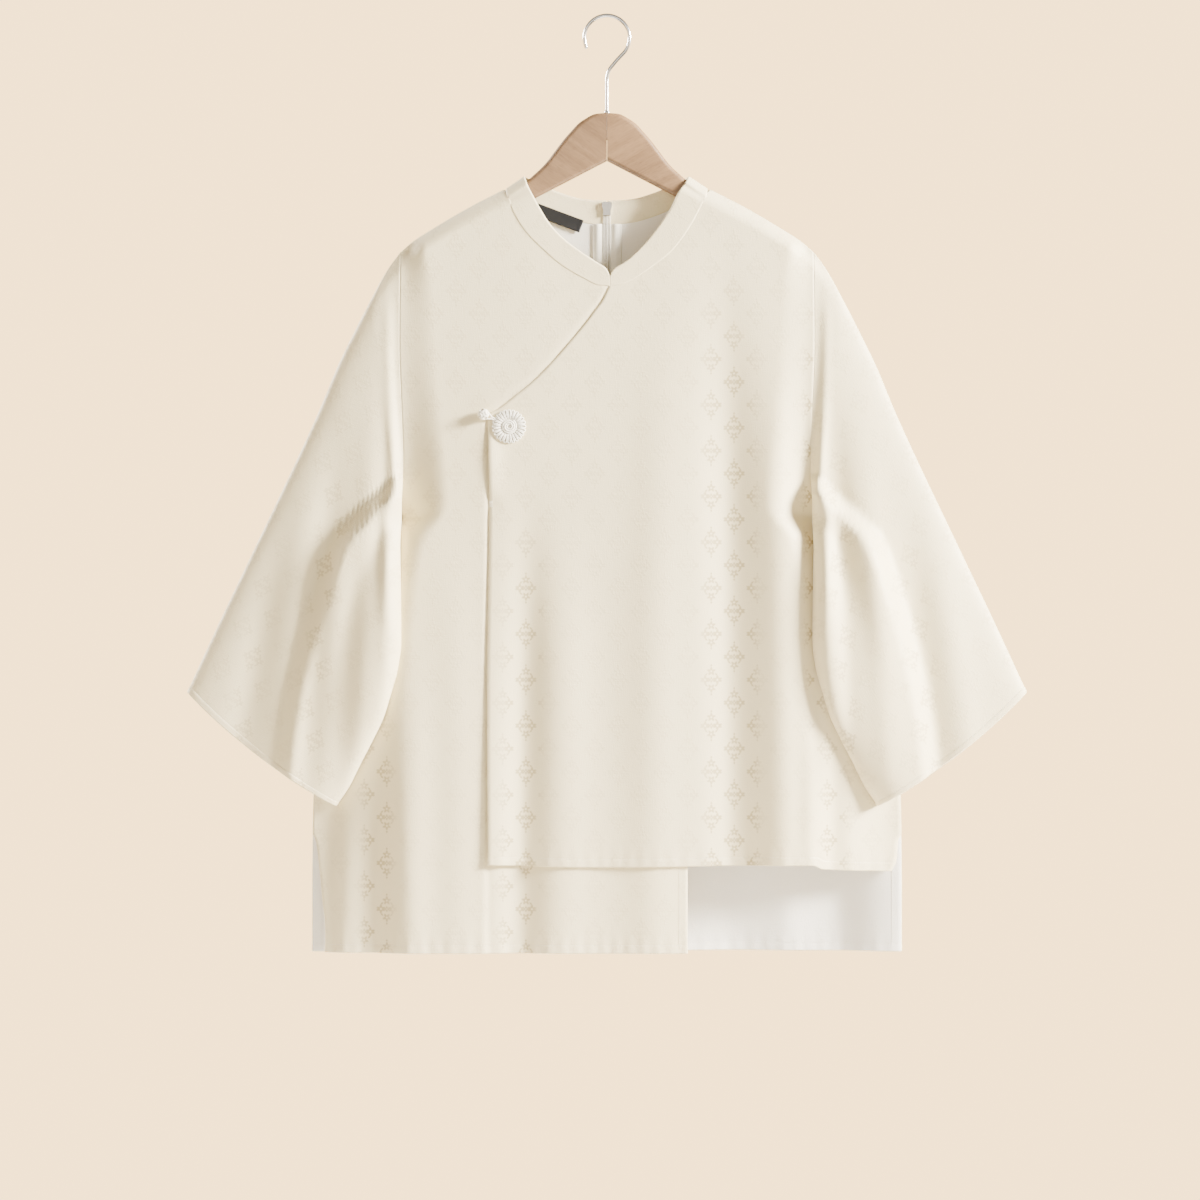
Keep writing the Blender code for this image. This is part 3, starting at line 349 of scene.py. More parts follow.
@dataclass(frozen=True)
class Jacquard:
    """A satin-faced cloth with a small woven figure of four blossoms in a lozenge."""

    name: str
    ground: tuple[float, float, float] = (0.800, 0.700, 0.450)
    # The figure's colour: the woven figure, darkened further as painted shade where the folds' troughs bring it
    # out.
    figure: tuple[float, float, float] = (0.400, 0.310, 0.150)
    shows: float = 0.75
    roughness: float = 0.52
    sheen: float = 0.25
    pitch_across: float = 0.0212
    pitch_down: float = 0.0420
    soft: float = 0.0007

    def blossom(
        self, graph: Graph, x: object, z: object, radius: float, petals: int
    ) -> bpy.types.NodeSocket:
        """Draw one blossom.

        Args:
            graph: The material's nodes.
            x: Distance across from its centre.
            z: Distance up from its centre.
            radius: Its reach.
            petals: How many petals.

        Returns:
            1 inside it and 0 outside.
        """
        squares = graph.math("ADD", graph.math("MULTIPLY", x, x), graph.math("MULTIPLY", z, z))
        reach = graph.math("SQRT", squares)
        turn = graph.math("MULTIPLY", graph.math("ARCTAN2", x, z), float(petals))
        lobes = graph.math("MULTIPLY_ADD", graph.math("COSINE", turn), 0.24 * radius, 0.76 * radius)
        inside = graph.ramp(graph.math("SUBTRACT", lobes, reach), -self.soft, self.soft)
        eye = graph.ramp(reach, 0.22 * radius - self.soft / 2, 0.22 * radius + self.soft / 2)
        return graph.math("MULTIPLY", inside, eye)

    def woven(self, graph: Graph, u: object, v: object) -> bpy.types.NodeSocket:
        """Draw the repeat.

        Args:
            graph: The material's nodes.
            u: Distance across the cloth.
            v: Distance along its grain.

        Returns:
            1 on the figure and 0 on the ground.
        """
        column = graph.math("FLOOR", graph.math("DIVIDE", u, self.pitch_across))
        odd = graph.math("MODULO", graph.math("ABSOLUTE", column), 2.0)
        drop = graph.math("MULTIPLY", odd, self.pitch_down / 2)
        half_across, half_down = self.pitch_across / 2, self.pitch_down / 2
        x = graph.math("SUBTRACT", graph.math("WRAP", u, self.pitch_across, 0.0), half_across)
        down = graph.math("WRAP", graph.math("ADD", v, drop), self.pitch_down, 0.0)
        z = graph.math("SUBTRACT", down, half_down)
        x, z = graph.math("ABSOLUTE", x), graph.math("ABSOLUTE", z)
        sides = self.blossom(graph, graph.math("SUBTRACT", x, 0.0056), z, 0.0043, 5)
        ends = self.blossom(graph, x, graph.math("SUBTRACT", z, 0.0078), 0.0040, 5)
        heart = self.blossom(graph, x, z, 0.0026, 4)
        above = graph.math("ABSOLUTE", graph.math("SUBTRACT", z, 0.0132))
        lozenge = graph.math("ADD", graph.math("MULTIPLY", x, 1.5), above)
        bud = graph.ramp(lozenge, 0.0020, 0.0008)
        leaf_x, leaf_z = graph.math("SUBTRACT", x, 0.0046), graph.math("SUBTRACT", z, 0.0050)
        leaf = graph.math("ADD", graph.math("ABSOLUTE", graph.math("ADD", leaf_x, leaf_z)), graph.math("MULTIPLY", graph.math("ABSOLUTE", graph.math("SUBTRACT", leaf_x, leaf_z)), 0.45))
        leaf = graph.ramp(leaf, 0.0018, 0.0008)
        total = graph.math("MAXIMUM", sides, ends)
        for part in (heart, bud, leaf):
            total = graph.math("MAXIMUM", total, part)
        return total

    def build(self) -> bpy.types.Material:
        """The finished cloth, read from each shell's grain coordinates."""
        graph = Graph.named(self.name)
        grain = graph.add("UVMap", uv_map="grain").outputs["UV"]
        split = graph.add("SeparateXYZ", {"Vector": grain})
        u, v = split.outputs["X"], split.outputs["Y"]
        figure = self.woven(graph, u, v)
        # Painted shade: the fold-trough attribute read here makes the darker figure colour show more strongly in
        # the troughs of the folds, with random patches on top.
        trough_shade = graph.add("Attribute", attribute_name="trough_shade").outputs["Fac"]
        worn = graph.ramp(graph.noise(grain, 16.0, 3.0), 0.25, 0.75)
        patches_and_trough_shade = graph.math("MULTIPLY_ADD", worn, 0.16, graph.math("MULTIPLY_ADD", trough_shade, 0.84, 0.06))
        shows = graph.math("MULTIPLY", figure, graph.math("MULTIPLY", patches_and_trough_shade, self.shows))
        weft = graph.noise(graph.scaled(grain, (160.0, 1900.0, 1.0)), 1.0, 2.0)
        warp = graph.noise(graph.scaled(grain, (1700.0, 120.0, 1.0)), 1.0, 2.0)
        threads = graph.math("ADD", weft, warp)
        speck = graph.noise(grain, 1500.0, 1.0)
        cloud = graph.noise(grain, 14.0, 2.0)
        tone = graph.math("ADD", graph.math("MULTIPLY", threads, 0.11), graph.math("MULTIPLY", cloud, 0.05))
        tone = graph.ramp(tone, 0.06, 0.21)
        dark = tuple(0.940 * c for c in self.ground)
        ground = graph.mix(tone, dark, self.ground)
        colour = graph.mix(shows, ground, self.figure)
        twill = graph.add(
            "TexWave", {"Vector": grain, "Scale": 420.0, "Distortion": 1.2, "Detail": 1.0, "Detail Scale": 3.0},
            wave_type="BANDS", bands_direction="DIAGONAL",
        ).outputs["Fac"]
        relief = graph.bump(twill, 0.00006, 0.35)
        relief = graph.bump(threads, 0.00022, 0.55, relief)
        relief = graph.bump(speck, 0.00010, 0.45, relief)
        relief = graph.bump(figure, 0.00010, 0.5, relief)
        gloss = graph.math("MULTIPLY_ADD", figure, 0.14, self.roughness)
        gloss = graph.math("MULTIPLY_ADD", graph.math("SUBTRACT", speck, 0.5), 0.20, gloss)
        graph.dress(
            Base_Color=colour, Roughness=gloss, Normal=relief, Sheen_Weight=self.sheen,
            Sheen_Roughness=0.45, Specular_IOR_Level=0.42, Subsurface_Weight=0.06,
            Subsurface_Radius=(0.004, 0.003, 0.002), Subsurface_Scale=0.5,
        )
        return graph.material


@dataclass(frozen=True)
class PlainWeave:
    """A plain woven tape, ribbon or facing."""

    name: str
    colour: tuple[float, float, float]
    roughness: float = 0.6
    threads: float = 1400.0
    relief: float = 0.00008
    variation: float = 0.07
    sheen: float = 0.15

    def build(self) -> bpy.types.Material:
        """The finished weave."""
        graph = Graph.named(self.name)
        grain = graph.add("UVMap", uv_map="grain").outputs["UV"]
        across = graph.noise(graph.scaled(grain, (self.threads / 8, self.threads, 1.0)), 1.0)
        down = graph.noise(graph.scaled(grain, (self.threads, self.threads / 8, 1.0)), 1.0)
        weave = graph.math("MULTIPLY", graph.math("ADD", across, down), 0.5)
        dark = tuple((1 - self.variation) * c for c in self.colour)
        colour = graph.mix(graph.ramp(weave, 0.35, 0.65), dark, self.colour)
        gloss = graph.math("MULTIPLY_ADD", weave, 0.2, self.roughness - 0.1)
        graph.dress(
            Base_Color=colour, Roughness=gloss, Normal=graph.bump(weave, self.relief, 0.7),
            Sheen_Weight=self.sheen, Specular_IOR_Level=0.35,
        )
        return graph.material


@dataclass(frozen=True)
class TwistedCord:
    """Bias cord or sewing thread with a fine twist."""

    name: str
    colour: tuple[float, float, float] = (0.875, 0.835, 0.725)
    pitch: float = 0.0011
    roughness: float = 0.5

    def build(self) -> bpy.types.Material:
        """The finished cord, read from its length and its way round."""
        graph = Graph.named(self.name)
        grain = graph.add("UVMap", uv_map="grain").outputs["UV"]
        split = graph.add("SeparateXYZ", {"Vector": grain})
        lean = graph.math("ADD", split.outputs["X"], graph.math("MULTIPLY", split.outputs["Y"], 0.6))
        strand = graph.math("SINE", graph.math("MULTIPLY", lean, 2 * math.pi / self.pitch))
        strand = graph.math("MULTIPLY_ADD", strand, 0.5, 0.5)
        fuzz = graph.noise(grain, 2200.0, 2.0)
        # The grooves between the twisted strands are painted darker as painted shade, with random fuzz on top.
        dark = tuple(0.86 * c for c in self.colour)
        colour = graph.mix(graph.ramp(graph.math("ADD", strand, fuzz), 0.3, 1.1), dark, self.colour)
        relief = graph.bump(fuzz, 0.00006, 0.6, graph.bump(strand, 0.00012, 0.7))
        graph.dress(
            Base_Color=colour, Roughness=self.roughness, Normal=relief, Sheen_Weight=0.2,
            Specular_IOR_Level=0.4,
        )
        return graph.material


@dataclass(frozen=True)
class Beech:
    """Varnished beech with fine flecks, its grain at an angle in the XZ plane."""

    name: str
    angle: float
    light: tuple[float, float, float] = (0.215, 0.128, 0.064)
    dark: tuple[float, float, float] = (0.135, 0.076, 0.036)
    seed: float = 0.0

    def build(self) -> bpy.types.Material:
        """The finished wood."""
        graph = Graph.named(self.name)
        place = graph.add("TexCoord").outputs["Object"]
        inputs = {"Vector": place, "Rotation": (0.0, self.angle, 0.0), "Location": (self.seed, 0.0, self.seed)}
        grain = graph.add("Mapping", inputs).outputs["Vector"]
        rings = graph.noise(graph.scaled(grain, (7.0, 30.0, 130.0)), 1.0, 5.0, 0.62)
        flecks = graph.noise(graph.scaled(grain, (90.0, 300.0, 1100.0)), 1.0, 2.0, 0.6)
        pores = graph.ramp(graph.noise(graph.scaled(grain, (160.0, 900.0, 2600.0)), 1.0, 1.0), 0.60, 0.72)
        colour = graph.mix(graph.ramp(rings, 0.32, 0.66), self.dark, self.light)
        warm = tuple(1.10 * c for c in self.light)
        colour = graph.mix(graph.math("MULTIPLY", graph.ramp(flecks, 0.45, 0.70), 0.45), colour, warm)
        shade = tuple(0.55 * c for c in self.dark)
        colour = graph.mix(graph.math("MULTIPLY", pores, 0.55), colour, shade)
        relief = graph.bump(pores, -0.00005, 0.5, graph.bump(flecks, 0.00004, 0.4))
        gloss = graph.math("MULTIPLY_ADD", flecks, 0.16, 0.34)
        graph.dress(Base_Color=colour, Roughness=gloss, Normal=relief, Coat_Weight=0.18, Coat_Roughness=0.3)
        return graph.material


@dataclass(frozen=True)
class Metal:
    """Plated steel with faint wear."""

    name: str
    colour: tuple[float, float, float] = (0.72, 0.72, 0.73)
    roughness: float = 0.18

    def build(self) -> bpy.types.Material:
        """The finished metal."""
        graph = Graph.named(self.name)
        place = graph.add("TexCoord").outputs["Object"]
        wear = graph.noise(place, 420.0, 4.0, 0.6)
        dull = tuple(0.86 * c for c in self.colour)
        colour = graph.mix(graph.ramp(wear, 0.40, 0.70), self.colour, dull)
        gloss = graph.math("MULTIPLY_ADD", wear, 0.20, self.roughness - 0.08)
        graph.dress(
            Base_Color=colour, Roughness=gloss, Metallic=1.0, Normal=graph.bump(wear, 0.00002, 0.3)
        )
        return graph.material


@dataclass(frozen=True)
class Paper:
    """The studio's plain pale floor."""

    name: str
    colour: tuple[float, float, float] = (0.80, 0.77, 0.73)

    def build(self) -> bpy.types.Material:
        """The finished paper."""
        graph = Graph.named(self.name)
        place = graph.add("TexCoord").outputs["Object"]
        tooth = graph.noise(place, 60.0, 3.0)
        dark = tuple(0.985 * c for c in self.colour)
        graph.dress(Base_Color=graph.mix(tooth, dark, self.colour), Roughness=0.9, Specular_IOR_Level=0.2)
        return graph.material


@dataclass
class Finishes:
    """Every material of the object, made once."""

    cloth: bpy.types.Material = field(init=False)
    wrong_side: bpy.types.Material = field(init=False)
    tape: bpy.types.Material = field(init=False)
    coil: bpy.types.Material = field(init=False)
    cord: bpy.types.Material = field(init=False)
    thread: bpy.types.Material = field(init=False)
    label: bpy.types.Material = field(init=False)
    chrome: bpy.types.Material = field(init=False)
    nickel: bpy.types.Material = field(init=False)
    beech_left: bpy.types.Material = field(init=False)
    beech_right: bpy.types.Material = field(init=False)
    paper: bpy.types.Material = field(init=False)

    def __post_init__(self) -> None:
        """Build each finish."""
        self.cloth = Jacquard("ivory_jacquard").build()
        self.wrong_side = Jacquard(
            "ivory_jacquard_wrong_side", ground=(0.840, 0.800, 0.715), figure=(0.790, 0.740, 0.640),
            shows=0.25, roughness=0.68, sheen=0.1,
        ).build()
        self.tape = PlainWeave("zip_tape_weave", (0.860, 0.815, 0.700), 0.42, 900.0).build()
        self.coil = PlainWeave("zip_coil_nylon", (0.780, 0.745, 0.660), 0.38, 500.0, 0.00004).build()
        self.cord = TwistedCord("bias_cord").build()
        self.thread = TwistedCord("sewing_thread", (0.780, 0.735, 0.620), 0.0006, 0.6).build()
        self.label = PlainWeave("black_satin", (0.004, 0.004, 0.005), 0.60, 1600.0, 0.00005, 0.3, 0.0).build()
        self.chrome = Metal("hook_chrome").build()
        self.nickel = Metal("zip_nickel", (0.60, 0.59, 0.57), 0.32).build()
        self.beech_left = Beech("beech_left", math.radians(-36)).build()
        self.beech_right = Beech("beech_right", math.radians(28), seed=0.37, light=(0.245, 0.145, 0.070), dark=(0.160, 0.090, 0.042)).build()
        self.paper = Paper("studio_paper").build()


@dataclass
class Mesher:
    """Collects points, faces and grain coordinates, and makes one object of them."""

    points: list[np.ndarray] = field(default_factory=list)
    faces: list[np.ndarray] = field(default_factory=list)
    grain: list[np.ndarray] = field(default_factory=list)
    slots: list[np.ndarray] = field(default_factory=list)
    count: int = 0

    def add(self, points: np.ndarray, faces: np.ndarray, grain: np.ndarray, slot: int = 0) -> None:
        """Add a part.

        Args:
            points: Its points.
            faces: Its four-cornered faces, by point.
            grain: Grain coordinates of each point.
            slot: The material slot of its faces.
        """
        self.points.append(points.reshape(-1, 3))
        self.grain.append(grain.reshape(-1, 2))
        self.faces.append(faces.reshape(-1, 4) + self.count)
        self.slots.append(np.full(len(self.faces[-1]), slot))
        self.count += len(self.points[-1])

    def tube(self, path: np.ndarray, radius: float | np.ndarray, sides: int = 8, closed: bool = False) -> None:
        """Add a round cord with domed ends.

        Args:
            path: The points that it follows.
            radius: Its radius, all along or at each point.
            sides: How many sides it has.
            closed: Whether its end meets its start.
        """
        path = np.asarray(path, float)
        radius = np.broadcast_to(radius, len(path)).astype(float)
        if not closed:
            first, last = path[0] - path[1], path[-1] - path[-2]
            first, last = first / np.linalg.norm(first), last / np.linalg.norm(last)
            path = np.concatenate([[path[0] + first * radius[0] * 0.6], path, [path[-1] + last * radius[-1] * 0.6]])
            radius = np.concatenate([[radius[0] * 0.45], radius, [radius[-1] * 0.45]])
        if closed:
            ahead = np.roll(path, -1, axis=0) - np.roll(path, 1, axis=0)
        else:
            ahead = np.gradient(path, axis=0)
        ahead /= np.linalg.norm(ahead, axis=1)[:, None]
        side = np.cross(ahead[0], (0.31, 0.91, 0.27))
        sideways = []
        for way in ahead:
            side = side - way * (side @ way)
            side = side / np.linalg.norm(side)
            sideways.append(side)
        sideways = np.array(sideways)
        upward = np.cross(ahead, sideways)
        turns = np.arange(sides) * 2 * math.pi / sides
        ring = np.cos(turns)[None, :, None] * sideways[:, None] + np.sin(turns)[None, :, None] * upward[:, None]
        points = path[:, None] + radius[:, None, None] * ring
        length = np.concatenate([[0], np.cumsum(np.linalg.norm(np.diff(path, axis=0), axis=1))])
        grain = np.stack(np.broadcast_arrays(length[:, None], (turns * radius.max())[None, :]), axis=-1)
        rows = len(path) if closed else len(path) - 1
        i, k = np.meshgrid(np.arange(rows), np.arange(sides), indexing="ij")
        n, j = (i + 1) % len(path), (k + 1) % sides
        faces = np.stack([i * sides + k, i * sides + j, n * sides + j, n * sides + k], axis=-1)
        start = self.count
        self.add(points, faces, grain)
        if not closed:
            for row, flip in ((0, -1), (len(path) - 1, 1)):
                rim = start + row * sides + np.arange(sides)[::flip]
                middle = sides // 2
                caps = [(rim[m], rim[m + 1], rim[sides - 2 - m], rim[sides - 1 - m]) for m in range(middle - 1)]
                self.faces.append(np.array(caps))
                self.slots.append(np.zeros(len(caps)))

    def build(self, name: str, *materials: bpy.types.Material) -> bpy.types.Object:
        """Make the object.

        Args:
            name: Its name.
            materials: Its material slots.

        Returns:
            The object, linked to the scene.
        """
        mesh = bpy.data.meshes.new(name)
        faces = np.concatenate(self.faces).astype(int)
        mesh.from_pydata(np.concatenate(self.points).tolist(), [], faces.tolist())
        for material in materials:
            mesh.materials.append(material)
        mesh.polygons.foreach_set("material_index", np.concatenate(self.slots).astype(np.int32))
        layer = mesh.uv_layers.new(name="grain")
        corners = np.zeros(len(mesh.loops), np.int32)
        mesh.loops.foreach_get("vertex_index", corners)
        layer.data.foreach_set("uv", np.concatenate(self.grain)[corners].ravel())
        mesh.shade_smooth()
        mesh.validate()
        mesh.update()
        piece = bpy.data.objects.new(name, mesh)
        bpy.context.scene.collection.objects.link(piece)
        return piece


def ride(piece: bpy.types.Object, slot: str, *nodes: str, body: str = TOP) -> bpy.types.Object:
    """Fasten a piece to its body.

    Args:
        piece: The piece.
        slot: Not used.
        nodes: The CAD nodes that it stands for.
        body: The body that it rides on.

    Returns:
        The piece.
    """
    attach(piece, body)
    if nodes:
        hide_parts(*nodes)
    LOG.info("%s: %d faces", piece.name, len(piece.data.polygons))
    return piece


@dataclass
class Shell:
    """A thin wall of cloth on a grid of middle points, with a right side and a wrong side."""

    name: str
    middle: np.ndarray
    grain: np.ndarray
    half: np.ndarray
    closed: bool = False
    flip: bool = False
    # Per-point weight of painted shade in the folds' troughs, stored on the mesh for the cloth's colour.
    trough_shade: np.ndarray | None = None

    def normals(self) -> np.ndarray:
        """The outward direction at each point."""
        if self.closed:
            wide = np.concatenate([self.middle[:, -1:], self.middle, self.middle[:, :1]], axis=1)
            across = np.gradient(wide, axis=1)[:, 1:-1]
        else:
            across = np.gradient(self.middle, axis=1)
        down = np.gradient(self.middle, axis=0)
        out = np.cross(down, across)
        size = np.linalg.norm(out, axis=-1, keepdims=True)
        out = out / np.maximum(size, 1e-12)
        return -out if self.flip else out

    def build(self, face: bpy.types.Material, wrong: bpy.types.Material) -> bpy.types.Object:
        """Make the wall.

        Args:
            face: The finish of its right side and edges.
            wrong: The finish of its wrong side.

        Returns:
            The object.
        """
        rows, columns = self.middle.shape[:2]
        reach = self.normals() * self.half[..., None]
        outer, inner = self.middle + reach, self.middle - reach
        span = columns if self.closed else columns - 1
        i, k = np.meshgrid(np.arange(rows - 1), np.arange(span), indexing="ij")
        j = (k + 1) % columns
        here, next_row = i * columns, (i + 1) * columns
        quads = np.stack([here + k, here + j, next_row + j, next_row + k], axis=-1)
        turned = quads[..., ::-1]
        mesher = Mesher()
        mesher.add(outer, quads if not self.flip else turned, self.grain, 0)
        mesher.add(inner, turned if not self.flip else quads, self.grain, 1)
        rims = self.rims(rows, columns)
        for ring in rims:
            self.close(mesher, ring, rows * columns)
        piece = mesher.build(self.name, face, wrong)
        # Keep the painted fold shade on every point, rims included.
        if self.trough_shade is not None:
            shade = self.trough_shade.reshape(-1)
            layer = piece.data.attributes.new("trough_shade", "FLOAT", "POINT")
            layer.data.foreach_set("value", np.concatenate([shade, shade, *(shade[ring] for ring in rims)]))
        shell = bmesh.new()
        shell.from_mesh(piece.data)
        bmesh.ops.recalc_face_normals(shell, faces=shell.faces)
        shell.to_mesh(piece.data)
        shell.free()
        return piece

    def rims(self, rows: int, columns: int) -> list[np.ndarray]:
        """The loops of point numbers round the wall's open edges."""
        if self.closed:
            return [np.arange(columns), (rows - 1) * columns + np.arange(columns)]
        top = np.arange(columns)
        right = columns * np.arange(1, rows) + columns - 1
        bottom = (rows - 1) * columns + np.arange(columns - 2, -1, -1)
        left = columns * np.arange(rows - 2, 0, -1)
        return [np.concatenate([top, right, bottom, left])]

    def close(self, mesher: Mesher, ring: np.ndarray, count: int) -> None:
        """Close one open edge with a rounded rim.

        Args:
            mesher: Where the wall's faces are.
            ring: The edge's point numbers on the outer side.
            count: How many points a side has.
        """
        flat, grain = self.middle.reshape(-1, 3), self.grain.reshape(-1, 2)
        edge = flat[ring]
        inward = self.inward(ring, flat)
        half = self.half.reshape(-1)[ring][:, None]
        start = mesher.count
        n = len(ring)
        empty = np.zeros((0, 4), int)
        mesher.add(edge - inward * half * 0.9, empty, grain[ring], 0)
        m = np.arange(n)
        after = (m + 1) % n
        rim = start + m
        rim_next = start + after
        for side in (0, count):
            faces = np.stack([ring + side, ring[after] + side, rim_next, rim], axis=-1)
            mesher.faces.append(faces if side == 0 else faces[:, ::-1])
            mesher.slots.append(np.zeros(n))

    def inward(self, ring: np.ndarray, flat: np.ndarray) -> np.ndarray:
        """Unit directions from an edge's points to the cloth beside them."""
        rows, columns = self.middle.shape[:2]
        row, column = ring // columns, ring % columns
        step = (row == 0).astype(int) - (row == rows - 1)
        beside = np.clip(row + step, 0, rows - 1)
        sideways = column
        if not self.closed:
            sideways = column + (column == 0).astype(int) - (column == columns - 1)
        way = flat[beside * columns + sideways] - flat[ring]
        return way / np.maximum(np.linalg.norm(way, axis=1), 1e-9)[:, None]


@dataclass
class BodyForm:
    """The garment's seams in the XZ plane and how far its walls stand from the centre plane."""

    edge: float = 0.0005
    layer_at_seam: float = 0.0016
    layer: float = 0.0028
    hem_z: float = -0.8590
    roof: float = 0.0150
    armhole_depth: float = 0.0110
    fold_margin: float = 0.030
    tack_z: float = -0.4480
    edge_lift: float = 0.0045
    gape: float = 0.0026
    under_edge_x: float = 0.0734
    collar_depth: float = 0.0096
    seed: int = 11
    slit_spread: dict[Face, float] = field(default_factory=lambda: {Face.FRONT: 0.0060, Face.BACK: 0.0010})
    shoulder: Rows = field(default_factory=lambda: table(
        "x z", (0.0950, -0.1588), (0.1195, -0.1713), (0.1415, -0.1835), (0.1605, -0.1950),
        (0.1785, -0.2065), (0.1900, -0.2165),
    ))
    armhole: Rows = field(default_factory=lambda: table(
        "x z", (0.1900, -0.2165), (0.1905, -0.3000), (0.1885, -0.3600), (0.1870, -0.4100),
        (0.1890, -0.4450), (0.1930, -0.4580),
    ))
    side_seam: Rows = field(default_factory=lambda: table(
        "x z", (0.1930, -0.4580), (0.2130, -0.4800), (0.2300, -0.5200), (0.2490, -0.5800),
        (0.2620, -0.6400), (0.2690, -0.7000), (0.2705, -0.7520),
    ))
    back_slit: Rows = field(default_factory=lambda: table(
        "x z", (0.2705, -0.7520), (0.2710, -0.8000), (0.2710, -0.8590)
    ))
    front_slit: Rows = field(default_factory=lambda: table(
        "x z", (0.2705, -0.7520), (0.2677, -0.7560), (0.2650, -0.7750), (0.2618, -0.8070),
        (0.2585, -0.8410), (0.2590, -0.8590),
    ))
    over_slit: Rows = field(default_factory=lambda: table(
        "x z", (0.2705, -0.7520), (0.2677, -0.7560), (0.2659, -0.7750), (0.2610, -0.7850)
    ))
    slant: Rows = field(default_factory=lambda: table(
        "x z", (0.0032, -0.2488), (-0.0046, -0.2620), (-0.0120, -0.2720), (-0.0166, -0.2784),
        (-0.0653, -0.3336), (-0.0865, -0.3510), (-0.0957, -0.3585), (-0.1090, -0.3660),
    ))
    free_edge: Rows = field(default_factory=lambda: table(
        "x z", (-0.1090, -0.3660), (-0.1076, -0.4480), (-0.1094, -0.6200), (-0.1085, -0.7780)
    ))
    over_hem: Rows = field(default_factory=lambda: table(
        "x z", (-0.1085, -0.7780), (-0.0060, -0.7800), (0.1600, -0.7785), (0.1895, -0.7785),
        (0.1960, -0.7820), (0.2610, -0.7850),
    ))
    depths: Rows = field(default_factory=lambda: table(
        "z front back turn", (-0.1400, 0.0095, 0.0088, 0.020), (-0.2000, 0.0100, 0.0092, 0.022),
        (-0.2500, 0.0118, 0.0100, 0.030), (-0.3500, 0.0160, 0.0130, 0.035),
        (-0.4580, 0.0200, 0.0150, 0.045), (-0.6000, 0.0230, 0.0165, 0.075),
        (-0.7520, 0.0245, 0.0170, 0.090), (-0.8590, 0.0250, 0.0175, 0.100),
    ))
    front_folds: Rows = field(default_factory=lambda: table(
        "x_top z_top x_bottom z_bottom width height",
        (-0.0720, -0.400, -0.0800, -0.950, 0.016, -0.0048),
        (-0.0360, -0.420, -0.0440, -0.950, 0.022, 0.0030),
        (0.0480, -0.240, 0.0420, -0.950, 0.024, 0.0034),
        (0.1080, -0.170, 0.1180, -0.950, 0.021, -0.0066),
        (0.1560, -0.240, 0.1640, -0.950, 0.017, 0.0044),
        (0.1880, -0.240, 0.1900, -0.560, 0.008, -0.0040),
        (0.1895, -0.580, 0.1900, -0.950, 0.009, 0.0048),
        (0.2060, -0.620, 0.2080, -0.950, 0.011, -0.0040),
        (-0.1400, -0.420, -0.1360, -0.950, 0.020, 0.0018),
        (-0.1760, -0.520, -0.1800, -0.950, 0.018, 0.0030),
        (-0.2060, -0.600, -0.2130, -0.950, 0.016, -0.0042),
        (-0.2380, -0.680, -0.2420, -0.950, 0.013, 0.0034),
    ))
    back_folds: Rows = field(default_factory=lambda: table(
        "x_top z_top x_bottom z_bottom width height",
        (-0.1950, -0.560, -0.2120, -0.950, 0.018, 0.0040),
        (-0.1600, -0.440, -0.1700, -0.950, 0.020, -0.0032),
        (-0.1050, -0.360, -0.1120, -0.950, 0.024, 0.0034),
        (-0.0520, -0.480, -0.0600, -0.950, 0.020, -0.0024),
        (0.0540, -0.400, 0.0600, -0.950, 0.024, -0.0028),
        (0.1000, -0.340, 0.1180, -0.950, 0.022, 0.0036),
        (0.1580, -0.500, 0.1720, -0.950, 0.020, -0.0036),
        (0.2020, -0.580, 0.2240, -0.950, 0.017, 0.0042),
    ))
    waves: np.ndarray = field(init=False)

    def __post_init__(self) -> None:
        """Draw the small uneven waves of the cloth once."""
        random = np.random.default_rng(self.seed)
        across = random.uniform(30, 110, 7)
        down = random.uniform(-22, 22, 7)
        self.waves = np.stack([across, down, random.uniform(0, 2 * math.pi, 7)], axis=1)

    def ripple(self, x: np.ndarray, z: np.ndarray, offset: float = 0.0) -> np.ndarray:
        """Small uneven waves.

        Args:
            x: Places across.
            z: Heights.
            offset: A shift that makes another piece's waves differ.

        Returns:
            Heights in metres, up to about 0.6 mm.
        """
        total = np.zeros(np.broadcast(x, z).shape)
        for across, down, phase in self.waves:
            total += np.sin(across * (x + offset) + down * z + phase) * 9.0 / (60 + across)
        return 0.00038 * total * 6 / len(self.waves) * 4

    def shoulder_z(self, x: np.ndarray) -> np.ndarray:
        """The shoulder line, carried on upwards at its own slope where the neck opens."""
        rows = self.shoulder
        slope = (rows["z"][0] - rows["z"][1]) / (rows["x"][1] - rows["x"][0])
        return fit(rows, "x", "z", x) + slope * np.clip(rows["x"][0] - x, 0, None)

    def outline_x(self, z: np.ndarray) -> np.ndarray:
        """Half the body's width at a height: the armhole, then the side seam."""
        stretches = (self.armhole, self.side_seam, self.back_slit)
        x = joined(*(rows["x"] for rows in stretches))
        down = -joined(*(rows["z"] for rows in stretches))
        return monotone(down, x, -np.asarray(z, float))

    def edge_depth(self, z: np.ndarray, face: Face) -> np.ndarray:
        """Half the depth at the body's own edge.

        Args:
            z: Heights.
            face: Front or back.

        Returns:
            The depth there: open at the armhole, closed at the side seam, spread at the slit.
        """
        z = np.asarray(z, float)
        top, under, slit = self.armhole["z"][0], self.armhole["z"][-1], self.side_seam["z"][-1]
        share = np.clip((top - z) / (top - under), 0, 1)
        armhole = 2 * self.armhole_depth * np.sqrt(share * (1 - share))
        spread = self.slit_spread[face] * np.clip((slit - z) / (slit - self.hem_z), 0, 1)
        return np.maximum(self.edge, armhole) + spread

